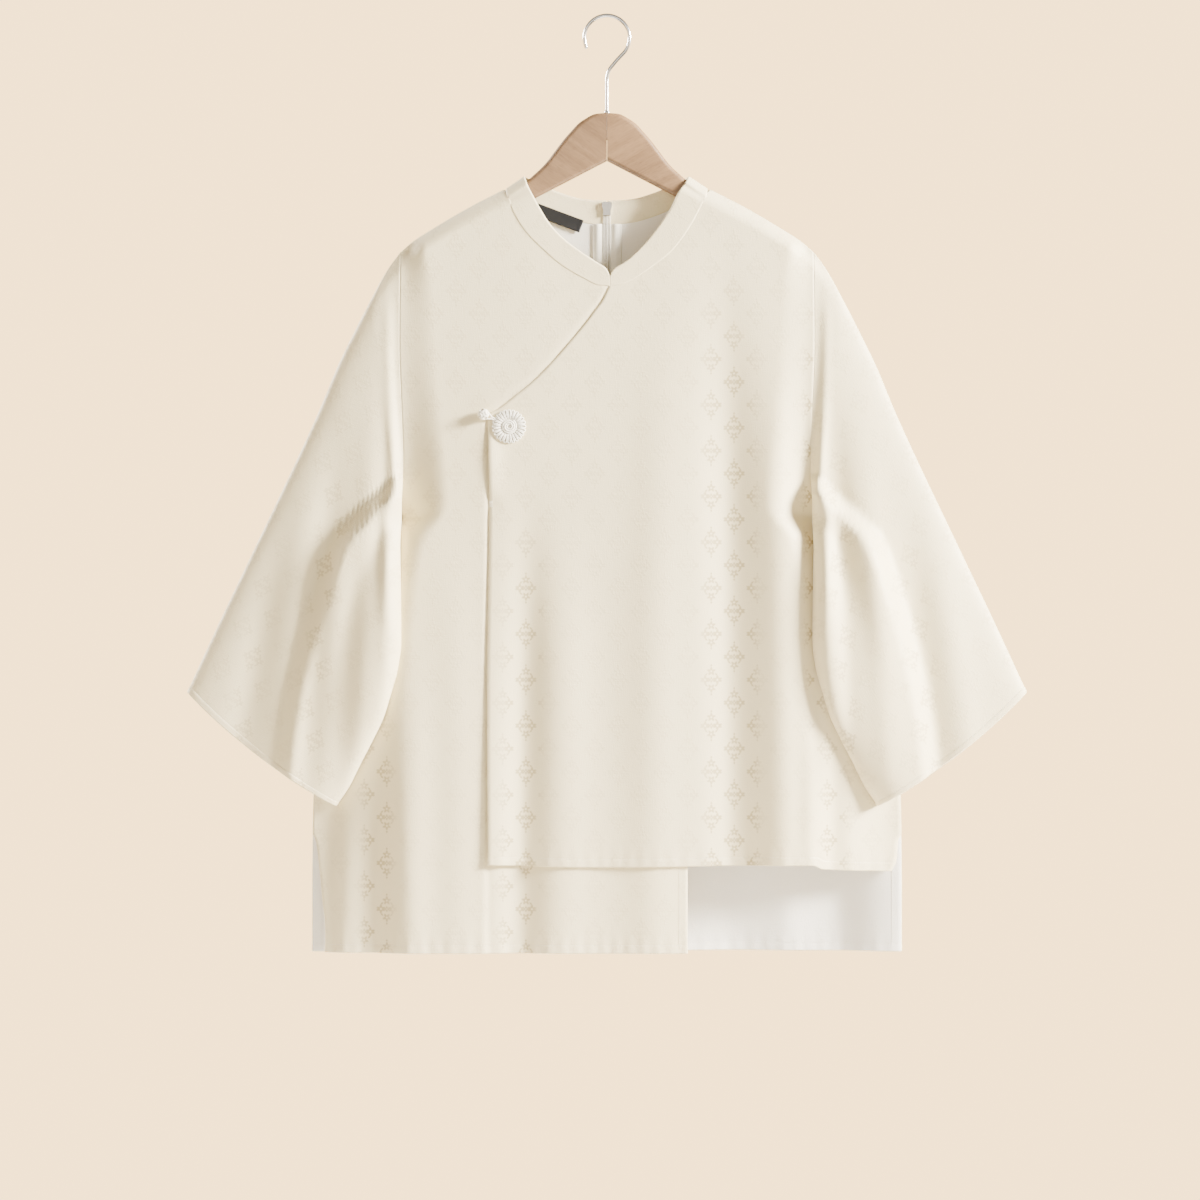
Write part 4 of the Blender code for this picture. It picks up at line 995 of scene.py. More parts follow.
    def folds_at(self, folds: Rows, x: np.ndarray, z: np.ndarray) -> np.ndarray:
        """The sum of the folds at a point.

        Args:
            folds: Their centre lines, widths and heights.
            x: Places across.
            z: Heights.

        Returns:
            How far the cloth stands out there.
        """
        total = np.zeros(np.broadcast(x, z).shape)
        for top_x, top_z, bottom_x, bottom_z, width, height in zip(*folds.values()):
            share = (top_z - z) / (top_z - bottom_z)
            centre = top_x + (bottom_x - top_x) * share
            total += height * eased(2.5 * share) * ridge(x - centre, width)
        return total

    def trough_shade(self, folds: Rows, x: np.ndarray, z: np.ndarray) -> np.ndarray:
        """How deep in a fold each point lies, which weights the painted shade that darkens the woven figure there.

        Args:
            folds: The folds' centre lines, widths and heights.
            x: Places across.
            z: Heights.

        Returns:
            0 on the crests to 1 in the troughs.
        """
        return eased(0.18 - self.folds_at(folds, x, z) / 0.0038)

    def half_depth(self, x: np.ndarray, z: np.ndarray, face: Face) -> np.ndarray:
        """How far the middle of a wall stands from the centre plane.

        Args:
            x: Places across.
            z: Heights.
            face: Front or back.

        Returns:
            The distance, always positive.
        """
        x, z = np.asarray(x, float), np.asarray(z, float)
        inside = self.outline_x(z) - abs(x)
        turn = eased(inside / fit(self.depths, "z", "turn", z))
        edge = self.edge_depth(z, face)
        deep = edge + (fit(self.depths, "z", face.value, z) - edge) * turn
        below = (self.shoulder_z(abs(x)) - z) * math.cos(math.radians(30))
        folds = self.front_folds if face is Face.FRONT else self.back_folds
        calm = eased(inside / self.fold_margin) * eased(below / self.fold_margin)
        relief = self.folds_at(folds, x, z) + self.ripple(x, z, 0.0 if face is Face.FRONT else 3.1)
        return self.edge + (deep - self.edge) * rounded(below / self.roof) + relief * calm

    def free_edge_x(self, z: np.ndarray) -> np.ndarray:
        """The left edge of the upper front at a height."""
        x = joined(self.slant["x"], self.free_edge["x"])
        down = -joined(self.slant["z"], self.free_edge["z"])
        return monotone(down, x, -np.asarray(z, float))

    def over_y(self, x: np.ndarray, z: np.ndarray) -> np.ndarray:
        """The upper front; its free edge gapes above the tack and stands off below it."""
        hang = eased((self.tack_z - z) / (self.tack_z - self.hem_z))
        near = ridge(x - self.free_edge_x(z), 0.022)
        frog_z = self.free_edge["z"][0]
        opening = np.clip((frog_z - z) / (frog_z - self.tack_z), 0, 1)
        gape = self.gape * np.sin(math.pi * opening) * ridge(x - self.free_edge_x(z), 0.010)
        pinch = 0.0010 * ridge(np.hypot(x - self.free_edge_x(z) - 0.002, z - self.tack_z), 0.006)
        return -self.half_depth(x, z, Face.FRONT) - self.edge_lift * hang * near - gape + pinch

    def under_y(self, x: np.ndarray, z: np.ndarray) -> np.ndarray:
        """The under front, which steps back behind the upper one."""
        past = x - self.free_edge_x(z)
        step = self.layer_at_seam * eased((past + 0.004) / 0.004)
        more = (self.layer - self.layer_at_seam) * eased((past - 0.002) / 0.020)
        return -self.half_depth(x, z, Face.FRONT) + step + more

    def back_y(self, x: np.ndarray, z: np.ndarray) -> np.ndarray:
        """The back wall."""
        return self.half_depth(x, z, Face.BACK)


@dataclass
class Panels:
    """The fronts and the two halves of the back, with their stitched hems."""

    form: BodyForm
    finishes: Finishes
    neck_columns: int = 54
    shoulder_columns: int = 48
    split: float = 0.41
    half: float = 0.00040
    hem: float = 0.0070
    hem_rise: float = 0.00028
    height: float = 0.60

    def down(self) -> np.ndarray:
        """Rows' shares of a panel's height: close at the shoulder's roll and at the hem."""
        roll = np.linspace(0, 0.03, 15) ** 1.0
        body = np.linspace(0.03, self.split, 62)
        lower = np.linspace(self.split, 0.984, 92)
        hem = 1 - np.array((9.0, 8.0, 7.5, 7.0, 6.5, 6.0, 4.5, 3.0, 1.5, 0.6, 0.0)) / 1000 / self.height
        return np.unique(np.concatenate([roll, body, lower, hem]))

    def parted(self) -> tuple[np.ndarray, np.ndarray]:
        """The rows above and below the split, each as shares of its own stretch."""
        down = self.down()
        return down[down <= self.split] / self.split, (down[down >= self.split] - self.split) / (1 - self.split)

    def sides(self, side: Side, slit: Rows) -> np.ndarray:
        """The armhole, side seam and slit edge of a panel.

        Args:
            side: Left or right.
            slit: The slit's edge below the side seam.

        Returns:
            Points from the shoulder to the hem.
        """
        upper, lower = self.parted()
        below = joined(points_of(self.form.side_seam, side), points_of(slit, side))
        return joined(along(points_of(self.form.armhole, side), upper), along(below, lower))

    def shoulder(self, side: Side) -> np.ndarray:
        """The shoulder seam, from the neck outwards."""
        return along(points_of(self.form.shoulder, side), even(self.shoulder_columns))

    def half_map(self, flat: np.ndarray) -> np.ndarray:
        """Half the cloth's thickness all over a panel, with the turned hem thicker."""
        lowest = flat[-1:, :, 1]
        up = flat[..., 1] - lowest
        turned = 1 - eased((up - self.hem + 0.0004) / 0.0008)
        groove = ridge(up - self.hem, 0.0006)
        return self.half + self.hem_rise * turned - 0.00012 * groove

    def raised(self, flat: np.ndarray, depth: Depth, hem_wave: float = 0.00030) -> np.ndarray:
        """Stand a flat draft up on its depth.

        Args:
            flat: The panel's flat points.
            depth: Gives y.
            hem_wave: How far the stitched hem puckers.

        Returns:
            The panel's middle points.
        """
        x, z = flat[..., 0], flat[..., 1]
        up = z - flat[-1:, :, 1]
        pucker = np.sin(x * 2 * math.pi / 0.0135 + 2.0 * np.sin(x * 31)) * ridge(up - self.hem * 0.7, 0.009)
        return np.stack([x, depth(x, z) + hem_wave * pucker, z], axis=-1)

    def panel(self, name: str, flat: np.ndarray, depth: Depth) -> None:
        """Make one panel.

        Args:
            name: Its name; the CAD node has the same name without its ending.
            flat: Its flat points.
            depth: Gives y.
        """
        folds = self.form.back_folds if "back" in name else self.form.front_folds
        # Painted shade for the folds' troughs, which brings out the darker figure colour there.
        trough_shade = self.form.trough_shade(folds, flat[..., 0], flat[..., 1])
        raised, half = self.raised(flat, depth), self.half_map(flat)
        inward = name == "back_right"
        shell = Shell(name + "_cloth", raised, flat.copy(), half, flip=inward, trough_shade=trough_shade)
        piece = shell.build(self.finishes.cloth, self.finishes.wrong_side)
        ride(piece, "cloth", name)

    def over(self, neck: "Collar") -> None:
        """The upper front, from the slanted seam and free edge to the right side."""
        upper, lower = self.parted()
        neck_line = along(neck.seam_line(Side.RIGHT, Face.FRONT), even(self.neck_columns))
        top = joined(neck_line, self.shoulder(Side.RIGHT))
        slant = points_of(self.form.slant)
        slant[0] = top[0]
        left = joined(along(slant, upper), along(points_of(self.form.free_edge), lower))
        across = even(len(top) - 1)
        bottom = along(points_of(self.form.over_hem), across)
        flat = coons(top, bottom, left, self.sides(Side.RIGHT, self.form.over_slit), across, self.down())
        self.panel("front_over", flat, self.form.over_y)

    def under(self, neck: "Collar") -> None:
        """The under front, from the left side to its edge behind the upper front."""
        left_neck = along(neck.seam_line(Side.LEFT, Face.FRONT), even(self.neck_columns))[::-1]
        right_neck = neck.seam_line(Side.RIGHT, Face.FRONT)
        right_neck = right_neck[(right_neck[:, 0] < self.form.under_edge_x - 0.004) & (right_neck[:, 0] > 0.004)]
        corner = [(self.form.under_edge_x, -0.1985)]
        across_neck = along(np.concatenate([left_neck[-1:], right_neck, corner]), even(30))
        top = joined(self.shoulder(Side.LEFT)[::-1], left_neck, across_neck)
        rows = self.down()
        left = self.sides(Side.LEFT, self.form.front_slit)
        falls = top[-1, 1] + (self.form.hem_z - top[-1, 1]) * rows
        right = np.stack([np.full(len(rows), self.form.under_edge_x), falls], axis=1)
        across = even(len(top) - 1)
        hem = left[-1, 0] + (self.form.under_edge_x - left[-1, 0]) * across
        bottom = np.stack([hem, np.full(len(top), self.form.hem_z)], axis=1)
        flat = coons(top, bottom, left, right, across, rows)
        self.panel("front_under", flat, self.form.under_y)

    def back(self, side: Side, neck: "Collar") -> None:
        """Half of the back, from the zip's seam to the side."""
        line = along(neck.seam_line(side, Face.BACK), even(34))
        line[0, 0] = side.value * 0.00012
        top = joined(line, along(points_of(self.form.shoulder, side), even(40)))
        rows = self.down()
        outer = self.sides(side, self.form.back_slit)
        falls = top[0, 1] + (self.form.hem_z - top[0, 1]) * rows
        inner = np.stack([np.full(len(rows), line[0, 0]), falls], axis=1)
        across = even(len(top) - 1)
        hem = line[0, 0] + (outer[-1, 0] - line[0, 0]) * across
        bottom = np.stack([hem, np.full(len(top), self.form.hem_z)], axis=1)
        flat = coons(top, bottom, inner, outer, across, rows)
        self.panel(f"back_{side.name.lower()}", flat, self.form.back_y)

    def build(self, neck: "Collar") -> None:
        """Make the four panels.

        Args:
            neck: The collar that they meet.
        """
        self.over(neck)
        self.under(neck)
        for side in Side:
            self.back(side, neck)


@dataclass
class Collar:
    """The standing band round the neck, in two halves from the front notch to the zip."""

    form: BodyForm
    finishes: Finishes
    half: float = 0.00085
    tuck: float = 0.0012
    columns: int = 240
    right: Rows = field(default_factory=lambda: table(
        "seam_x seam_z top_x top_z share",
        (0.0029, -0.2480, 0.0029, -0.2390, -1.00), (0.0110, -0.2470, 0.0062, -0.2330, -1.00),
        (0.0240, -0.2415, 0.0190, -0.2245, -1.00), (0.0420, -0.2295, 0.0360, -0.2080, -1.00),
        (0.0590, -0.2160, 0.0500, -0.1900, -1.00), (0.0750, -0.1950, 0.0590, -0.1765, -1.00),
        (0.0860, -0.1750, 0.0665, -0.1610, -1.00), (0.0908, -0.1655, 0.0725, -0.1525, -0.80),
        (0.0922, -0.1583, 0.0752, -0.1470, 0.00), (0.0890, -0.1605, 0.0722, -0.1484, 0.78),
        (0.0800, -0.1655, 0.0655, -0.1515, 1.00), (0.0660, -0.1725, 0.0545, -0.1565, 1.00),
        (0.0495, -0.1800, 0.0420, -0.1615, 1.00), (0.0280, -0.1870, 0.0250, -0.1665, 1.00),
        (0.0125, -0.1893, 0.0120, -0.1680, 1.00), (0.0011, -0.1900, 0.0011, -0.1683, 1.00),
    ))
    left: Rows = field(default_factory=lambda: table(
        "seam_x seam_z top_x top_z share",
        (0.0025, -0.2480, 0.0025, -0.2390, -1.00), (-0.0080, -0.2470, -0.0008, -0.2325, -1.00),
        (-0.0220, -0.2405, -0.0110, -0.2255, -1.00), (-0.0400, -0.2300, -0.0260, -0.2155, -1.00),
        (-0.0580, -0.2150, -0.0430, -0.2020, -1.00), (-0.0750, -0.1975, -0.0545, -0.1885, -1.00),
        (-0.0865, -0.1790, -0.0650, -0.1710, -1.00), (-0.0912, -0.1665, -0.0735, -0.1545, -0.80),
        (-0.0926, -0.1583, -0.0760, -0.1470, 0.00), (-0.0890, -0.1605, -0.0722, -0.1484, 0.78),
        (-0.0800, -0.1655, -0.0655, -0.1515, 1.00), (-0.0660, -0.1725, -0.0545, -0.1565, 1.00),
        (-0.0495, -0.1800, -0.0420, -0.1615, 1.00), (-0.0280, -0.1870, -0.0250, -0.1665, 1.00),
        (-0.0125, -0.1893, -0.0120, -0.1680, 1.00), (-0.0011, -0.1900, -0.0011, -0.1683, 1.00),
    ))

    def path(self, side: Side, stations: np.ndarray) -> np.ndarray:
        """Read the band's table between its rows.

        Args:
            side: Left or right.
            stations: Row numbers, with fractions.

        Returns:
            seam x and z, top x and z, and share, for each.
        """
        rows = self.right if side is Side.RIGHT else self.left
        known = np.arange(len(rows["share"]))
        return np.stack([monotone(known, column, stations) for column in rows.values()], axis=1)

    def seam_line(self, side: Side, face: Face) -> np.ndarray:
        """The neck edge of a panel, tucked just under the band.

        Args:
            side: Left or right.
            face: Front or back.

        Returns:
            Flat points from the middle of the garment to the shoulder.
        """
        stations = np.linspace(0, 7, 90) if face is Face.FRONT else np.linspace(15, 9.3, 70)
        seam = self.path(side, stations)[:, :2]
        seam = shifted(seam, side.value * self.tuck)
        corner = [(side.value * self.form.shoulder["x"][0], self.form.shoulder["z"][0])]
        return np.concatenate([seam, corner])

    def stands(self, x: np.ndarray, z: np.ndarray, share: np.ndarray) -> np.ndarray:
        """The band's y, swinging from the front depth to the back depth.

        Args:
            x: Places across.
            z: Heights.
            share: -1 in front, 1 behind.

        Returns:
            y at each.
        """
        front = self.form.half_depth(x, z, Face.FRONT)
        back = self.form.half_depth(x, z, Face.BACK)
        body = np.where(share < 0, front, back)
        near = eased((abs(share) - 0.8) / 0.2)
        return share * (self.form.collar_depth + (body - self.form.collar_depth) * near)

    def band(self, side: Side) -> tuple[np.ndarray, np.ndarray]:
        """The middle of the band.

        Args:
            side: Left or right.

        Returns:
            Its points and their grain coordinates.
        """
        path = self.path(side, np.linspace(0, 15, self.columns + 1))
        up = np.unique(np.concatenate([np.linspace(0, 1, 14), (0.03, 0.06, 0.94, 0.97)]))[:, None]
        x = path[:, 0] + (path[:, 2] - path[:, 0]) * up
        z = path[:, 1] + (path[:, 3] - path[:, 1]) * up
        share = np.broadcast_to(path[:, 4], x.shape)
        grid = np.stack([x, self.stands(x, z, share), z], axis=-1)
        run = np.linalg.norm(np.diff(path[:, :2], axis=0), axis=1)
        length = np.concatenate([[0], np.cumsum(run)])
        grain = np.stack(np.broadcast_arrays(length[None], 0.024 * up), axis=-1)
        return grid, grain

    def build(self) -> None:
        """Make both halves."""
        for side in Side:
            grid, grain = self.band(side)
            across = np.linspace(0, 1, len(grid))[:, None]
            roll = 1 - 0.25 * ridge(np.minimum(across, 1 - across), 0.04)
            half = self.half * np.broadcast_to(roll, grid.shape[:2])
            shell = Shell(f"collar_{side.name.lower()}_cloth", grid, grain, half, flip=side is Side.RIGHT)
            piece = shell.build(self.finishes.cloth, self.finishes.cloth)
            ride(piece, "cloth", f"collar_{side.name.lower()}")


@dataclass
class Sleeves:
    """The wide three-quarter sleeves, whose under edges hang in front of the body."""

    form: BodyForm
    finishes: Finishes
    sides: int = 112
    half: float = 0.00040
    hem: float = 0.0055
    centre_y: float = -0.0020
    join: float = 0.12
    clear: float = 0.0026
    margin: float = 0.020
    rise: float = 0.70
    bulge: float = 0.0065
    cuff_way: tuple[float, float] = (0.605, -0.797)
    top: Rows = field(default_factory=lambda: table(
        "x z", (0.1906, -0.2163), (0.2015, -0.2315), (0.2155, -0.2570), (0.2310, -0.2875),
        (0.2470, -0.3205), (0.2660, -0.3660), (0.3285, -0.4990), (0.3550, -0.5545),
        (0.3855, -0.6205),
    ))
    under: Rows = field(default_factory=lambda: table(
        "x z", (0.1935, -0.4570), (0.1908, -0.4740), (0.1892, -0.5200), (0.1885, -0.5740),
        (0.1912, -0.5970), (0.1970, -0.6190), (0.2045, -0.6430), (0.2145, -0.6640),
        (0.2260, -0.6860), (0.2360, -0.7060), (0.2485, -0.7245),
    ))
    depth: Rows = field(default_factory=lambda: table(
        "along depth", (0.0, 0.0110), (0.3, 0.0120), (0.7, 0.0125), (1.0, 0.0125)
    ))
    folds: dict[Side, Rows] = field(default_factory=lambda: {
        Side.LEFT: table(
            "x_top z_top x_bottom z_bottom width height",
            (0.2450, -0.340, 0.2820, -0.780, 0.014, -0.0030),
            (0.2700, -0.400, 0.3160, -0.780, 0.016, 0.0028),
            (0.2120, -0.300, 0.2300, -0.780, 0.012, 0.0024),
            (0.3000, -0.460, 0.3560, -0.780, 0.014, -0.0022),
        ),
        Side.RIGHT: table(
            "x_top z_top x_bottom z_bottom width height",
            (0.2080, -0.330, 0.2260, -0.780, 0.010, -0.0032),
            (0.2320, -0.340, 0.2600, -0.780, 0.015, 0.0028),
            (0.2700, -0.400, 0.3060, -0.780, 0.016, -0.0024),
            (0.2980, -0.440, 0.3460, -0.780, 0.016, 0.0024),
        ),
    })
    back_folds: Rows = field(default_factory=lambda: table(
        "x_top z_top x_bottom z_bottom width height",
        (0.2300, -0.320, 0.2680, -0.780, 0.016, 0.0026),
        (0.2720, -0.380, 0.3160, -0.780, 0.016, -0.0024),
    ))

    def rings(self) -> np.ndarray:
        """Shares of the sleeve's length, close at the armhole and at the stitched cuff."""
        cuff = 1 - np.array((8.0, 7.0, 6.2, 5.8, 5.4, 5.0, 3.6, 2.2, 1.0, 0.4, 0.0)) / 1000 / 0.445
        return np.unique(np.concatenate([np.linspace(0, 0.12, 26), np.linspace(0.12, 0.978, 96), cuff]))

    def keeps_clear(self, x: np.ndarray, z: np.ndarray) -> np.ndarray:
        """The furthest back that a wall may lie in front of the body, and free beyond it."""
        under = self.form.armhole["z"][-1]
        level = np.minimum(z, under)
        outline = self.form.outline_x(level)
        inside = self.form.half_depth(np.minimum(x, outline), level, Face.FRONT)
        outside = np.clip(x - outline, 0, None) + np.clip(z - under, 0, None)
        return -(inside + self.clear) + self.rise * np.clip(outside - self.margin, 0, None)

    def grid(self, side: Side) -> np.ndarray:
        """Rings of the sleeve's middle.

        Args:
            side: Left or right.

        Returns:
            Points, rings by columns, from the armhole to the cuff.
        """
        angles = np.arange(self.sides) * 2 * math.pi / self.sides
        across = (1 - np.cos(angles)) / 2
        swell = abs(np.sin(angles)) ** 0.8
        is_front = np.sin(angles) >= 0
        shares = self.rings()
        tops = along(points_of(self.top), shares)
        unders = along(points_of(self.under), shares)
        seam = along(points_of(self.form.armhole), across)
        front = -self.form.half_depth(*seam.T, Face.FRONT)
        at_seam = np.where(is_front, front, self.form.half_depth(*seam.T, Face.BACK))
        rings = []
        for share, top, under in zip(shares, tops, unders):
            flat = top + (under - top) * across[:, None]
            flat += (1 - share) ** 6 * (seam - (tops[0] + (unders[0] - tops[0]) * across[:, None]))
            flat += self.bulge * share**3 * (4 * across * (1 - across))[:, None] * np.array(self.cuff_way)
            x, z = flat.T
            depth = fit(self.depth, "along", "depth", share) * swell
            small = self.form.ripple(x, z, 1.7 * side.value) * swell
            edge = self.form.outline_x(np.maximum(z, -0.458)) + 0.008
            near = ridge(x - edge, 0.006) * eased((-0.235 - z) / 0.05)
            roll = 0.0030 * near * eased((-z - 0.22) / 0.06) * (1 - eased((-z - 0.50) / 0.08))
            front = self.centre_y - depth - (self.form.folds_at(self.folds[side], x, z) + small) * swell - roll
            back = self.centre_y + depth + (self.form.folds_at(self.back_folds, x, z) + small) * swell
            y = np.where(is_front, front, back)
            y = at_seam + (y - at_seam) * eased(share / self.join)
            behind = np.where(is_front, y[(-np.arange(self.sides)) % self.sides], y)
            held = eased(share / 0.03)
            y += held * np.minimum(0, self.keeps_clear(x, z) - behind)
            rings.append(np.stack([side.value * x, y, z], axis=1))
        return np.array(rings)

    def build(self) -> None:
        """Make both sleeves."""
        shares = self.rings()
        for side in Side:
            grid = self.grid(side)
            down = (1 - shares)[:, None] * 0.445
            turned = 1 - eased((down - self.hem + 0.0004) / 0.0008)
            groove = ridge(down - self.hem, 0.0006)
            half = (self.half + 0.00028 * turned - 0.00012 * groove) * np.ones(grid.shape[:2])
            way = np.array((side.value * 0.44, -0.898))
            flat = grid[..., (0, 2)]
            grain = np.stack([flat @ np.array((way[1], -way[0])), flat @ way], axis=-1)
            name = f"sleeve_{side.name.lower()}"
            around = np.arange(self.sides) < self.sides / 2
            # Painted shade for the sleeves' fold troughs, at a little over half the body's strength.
            front = self.form.trough_shade(self.folds[side], abs(grid[..., 0]), grid[..., 2])
            back = self.form.trough_shade(self.back_folds, abs(grid[..., 0]), grid[..., 2])
            trough_shade = 0.55 * np.where(around, front, back)
            shell = Shell(
                name + "_cloth", grid, grain, half, closed=True, flip=side is Side.RIGHT, trough_shade=trough_shade
            )
            piece = shell.build(self.finishes.cloth, self.finishes.wrong_side)
            ride(piece, "cloth", name)


@dataclass
class Stitching:
    """Rows of small hand-length stitches along the hems and cuffs, and the tack at the opening."""

    form: BodyForm
    finishes: Finishes
    pitch: float = 0.0026
    length: float = 0.0017
    radius: float = 0.00016

    def row(self, mesher: Mesher, path: np.ndarray) -> None:
        """Sew along a line.

        Args:
            mesher: Where the stitches go.
            path: The line, on the cloth's surface.
        """
        run = np.concatenate([[0], np.cumsum(np.linalg.norm(np.diff(path, axis=0), axis=1))])
        starts = np.arange(self.pitch / 2, run[-1] - self.length, self.pitch)
        for start in starts:
            wanted = start + self.length * np.array((0.0, 0.5, 1.0))
            points = np.stack([np.interp(wanted, run, column) for column in path.T], axis=1)
            mesher.tube(points, self.radius * np.array((0.8, 1.0, 0.8)), 4)

    def on_panel(self, x: np.ndarray, z: np.ndarray, depth: Depth, outward: int) -> np.ndarray:
        """A line that lies on a panel.

        Args:
            x: Places across.
            z: Heights.
            depth: The panel's y.
            outward: -1 on a front, 1 on a back.

        Returns:
            Its points, just proud of the cloth.
        """
        return np.stack([x, depth(x, z) + outward * 0.00058, z], axis=1)

    def build(self, panels: Panels, sleeves: Sleeves) -> None:
        """Sew the hems of the body and of the sleeves.

        Args:
            panels: The body's panels.
            sleeves: The sleeves.
        """
        form = self.form
        hems = Mesher()
        hem = along(points_of(form.over_hem), even(160))
        self.row(hems, self.on_panel(hem[2:-2, 0], hem[2:-2, 1] + panels.hem, form.over_y, -1))
        x = np.linspace(-0.256, form.under_edge_x - 0.003, 160)
        level = np.full(len(x), form.hem_z + panels.hem)
        self.row(hems, self.on_panel(x, level, form.under_y, -1))
        z = np.linspace(form.hem_z + 0.002, -0.775, 60)
        edge = np.full(len(z), form.under_edge_x - 0.0072)
        self.row(hems, self.on_panel(edge, z, form.under_y, -1))
        for side in Side:
            x = side.value * np.linspace(0.003, 0.269, 120)
            level = np.full(len(x), form.hem_z + panels.hem)
            self.row(hems, self.on_panel(x, level, form.back_y, 1))
            self.row(hems, self.on_panel(x, level, form.back_y, -1))
            z = np.linspace(-0.755, form.hem_z + 0.004, 50)
            edge = side.value * (form.outline_x(z) - 0.0085)
            self.row(hems, self.on_panel(edge, z, form.back_y, 1))
            self.row(hems, self.on_panel(edge, z, form.back_y, -1))
        ride(hems.build("hem_stitching", self.finishes.thread), "cloth")
        cuffs = Mesher()
        shares = sleeves.rings()
        row = int(np.argmin(abs((1 - shares) * 0.445 - sleeves.hem)))
        for side in Side:
            ring = sleeves.grid(side)[row]
            outward = np.where(np.arange(sleeves.sides) < sleeves.sides / 2, -1.0, 1.0)
            path = ring + np.stack([0 * outward, outward * 0.00048, 0 * outward], axis=1)
            self.row(cuffs, np.concatenate([path, path[:1]]))
        ride(cuffs.build("cuff_stitching", self.finishes.thread), "cloth")
        tack = Mesher()
        for step in range(5):
            z = form.tack_z - 0.0022 + 0.0011 * step
            x = float(form.free_edge_x(z)) + np.array((-0.0006, 0.0012, 0.0030))
            self_z = np.full(3, z)
            tack.tube(self.on_panel(x, self_z, form.over_y, -1), 0.00022, 6)
        ride(tack.build("opening_tack", self.finishes.thread), "cloth")


@dataclass
class Zip:
    """The zip in the back seam: two tapes, a woven coil, and the slider with its pull."""

    form: BodyForm
    finishes: Finishes
    top_z: float = -0.1896
    coil_top_z: float = -0.1818
    bottom_z: float = -0.4700
    tape: tuple[float, float] = (0.0034, 0.0132)
    tooth_pitch: float = 0.0012

    def inside(self, x: np.ndarray, z: np.ndarray, gap: float) -> np.ndarray:
        """y at a gap in front of the back wall's middle, on the wearer's side."""
        return self.form.back_y(x, z) - gap

    def tapes(self) -> None:
        """The two woven tapes, each with a shallow fold beside the coil."""
        z = np.linspace(self.top_z, self.bottom_z, 130)
        for side in Side:
            x = side.value * np.linspace(*self.tape, 16)
            flat = np.stack(np.meshgrid(x, z), axis=-1)
            share = np.linspace(0, 1, 16)[None]
            swell = 0.0011 * np.sin(math.pi * share) ** 2 * (1 + 0.3 * np.sin(z[:, None] * 60))
            y = self.inside(flat[..., 0], flat[..., 1], 0.0012) - swell
            grid = np.stack([flat[..., 0], y, flat[..., 1]], axis=-1)
            shell = Shell(f"zip_tape_{side.name.lower()}_weave", grid, flat, np.full(grid.shape[:2], 0.0003))
            piece = shell.build(self.finishes.tape, self.finishes.tape)
            ride(piece, "zip_tape", f"zip_tape_{side.name.lower()}")

    def coil(self) -> None:
        """Two interlocked rows of coil turns with a stitched edge beside each."""
        mesher = Mesher()
        count = int((self.coil_top_z - self.bottom_z) / self.tooth_pitch)
        for number in range(count):
            z = self.coil_top_z - self.tooth_pitch * (number + 0.5)
            for side in Side:
                level = z - side.value * self.tooth_pitch / 4
                x = side.value * np.array((-0.0006, 0.0003, 0.0014, 0.0023))
                drop = np.array((0.0, 0.0002, 0.0003, 0.0))
                y = self.inside(x, np.full(4, level), 0.0019) + drop * 0.5
                mesher.tube(np.stack([x, y, np.full(4, level)], axis=1), 0.00034, 5)
        z = np.linspace(self.coil_top_z, self.bottom_z, 160)
        for side in Side:
            x = np.full(len(z), side.value * 0.0029)
            y = self.inside(x, z, 0.0018)
            mesher.tube(np.stack([x, y, z], axis=1), 0.00042, 6)
        ride(mesher.build("zip_coil_turns", self.finishes.coil), "zip_tape", "zip_coil")

    def seam(self) -> None:
        """The back seam below the zip and the ridge over it outside."""
        mesher = Mesher()
        z = np.linspace(self.top_z - 0.001, self.form.hem_z + 0.001, 220)
        for side in Side:
            x = np.full(len(z), side.value * 0.00075)
            y = self.form.back_y(x, z) + 0.00012
            mesher.tube(np.stack([x, y, z], axis=1), 0.00055, 8)
        ride(mesher.build("back_seam_fold", self.finishes.cloth), "cloth")

    def build(self) -> None:
        """Make the zip's soft pieces, and dress its slider and pull."""
        self.tapes()
        self.coil()
        self.seam()
        for name in ("zip_slider", "zip_pull"):
            dress(name, self.finishes.nickel)


def dress(node: str, material: bpy.types.Material) -> None:
    """Give a CAD node another finish.

    Args:
        node: Its name.
        material: The finish for all its slots.
    """
    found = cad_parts[node]
    for slot in found.material_slots:
        slot.material = material
    LOG.info("%s: dressed", node)


@dataclass
class Label:
    """The bare black label inside the back neck."""

    form: BodyForm
    finishes: Finishes
    corner: tuple[float, float] = (-0.0218, -0.1862)
    length: float = 0.0580
    height: float = 0.0115
    tilt: float = math.radians(20.5)

    def build(self) -> None:
        """Make the label with softly lifted ends."""
        run = np.array((-math.cos(self.tilt), math.sin(self.tilt)))
        drop = np.array((-math.sin(self.tilt), -math.cos(self.tilt)))
        lengths, heights = np.meshgrid(np.linspace(0, self.length, 60), np.linspace(0, self.height, 14))
        flat = np.array(self.corner) + lengths[..., None] * run + heights[..., None] * drop
        share = heights / self.height
        lift = 0.0006 * share**2 * (1 + 0.4 * np.sin(lengths * 160))
        y = self.form.back_y(flat[..., 0], flat[..., 1]) - 0.0016 - lift
        grid = np.stack([flat[..., 0], y, flat[..., 1]], axis=-1)
        grain = np.stack([lengths, heights], axis=-1)
        ends = ridge(np.minimum(lengths, self.length - lengths) - 0.001, 0.0016)
        shell = Shell("neck_label_satin", grid, grain, 0.00028 + 0.00016 * ends)
        piece = shell.build(self.finishes.label, self.finishes.label)
        ride(piece, "label", "neck_label")


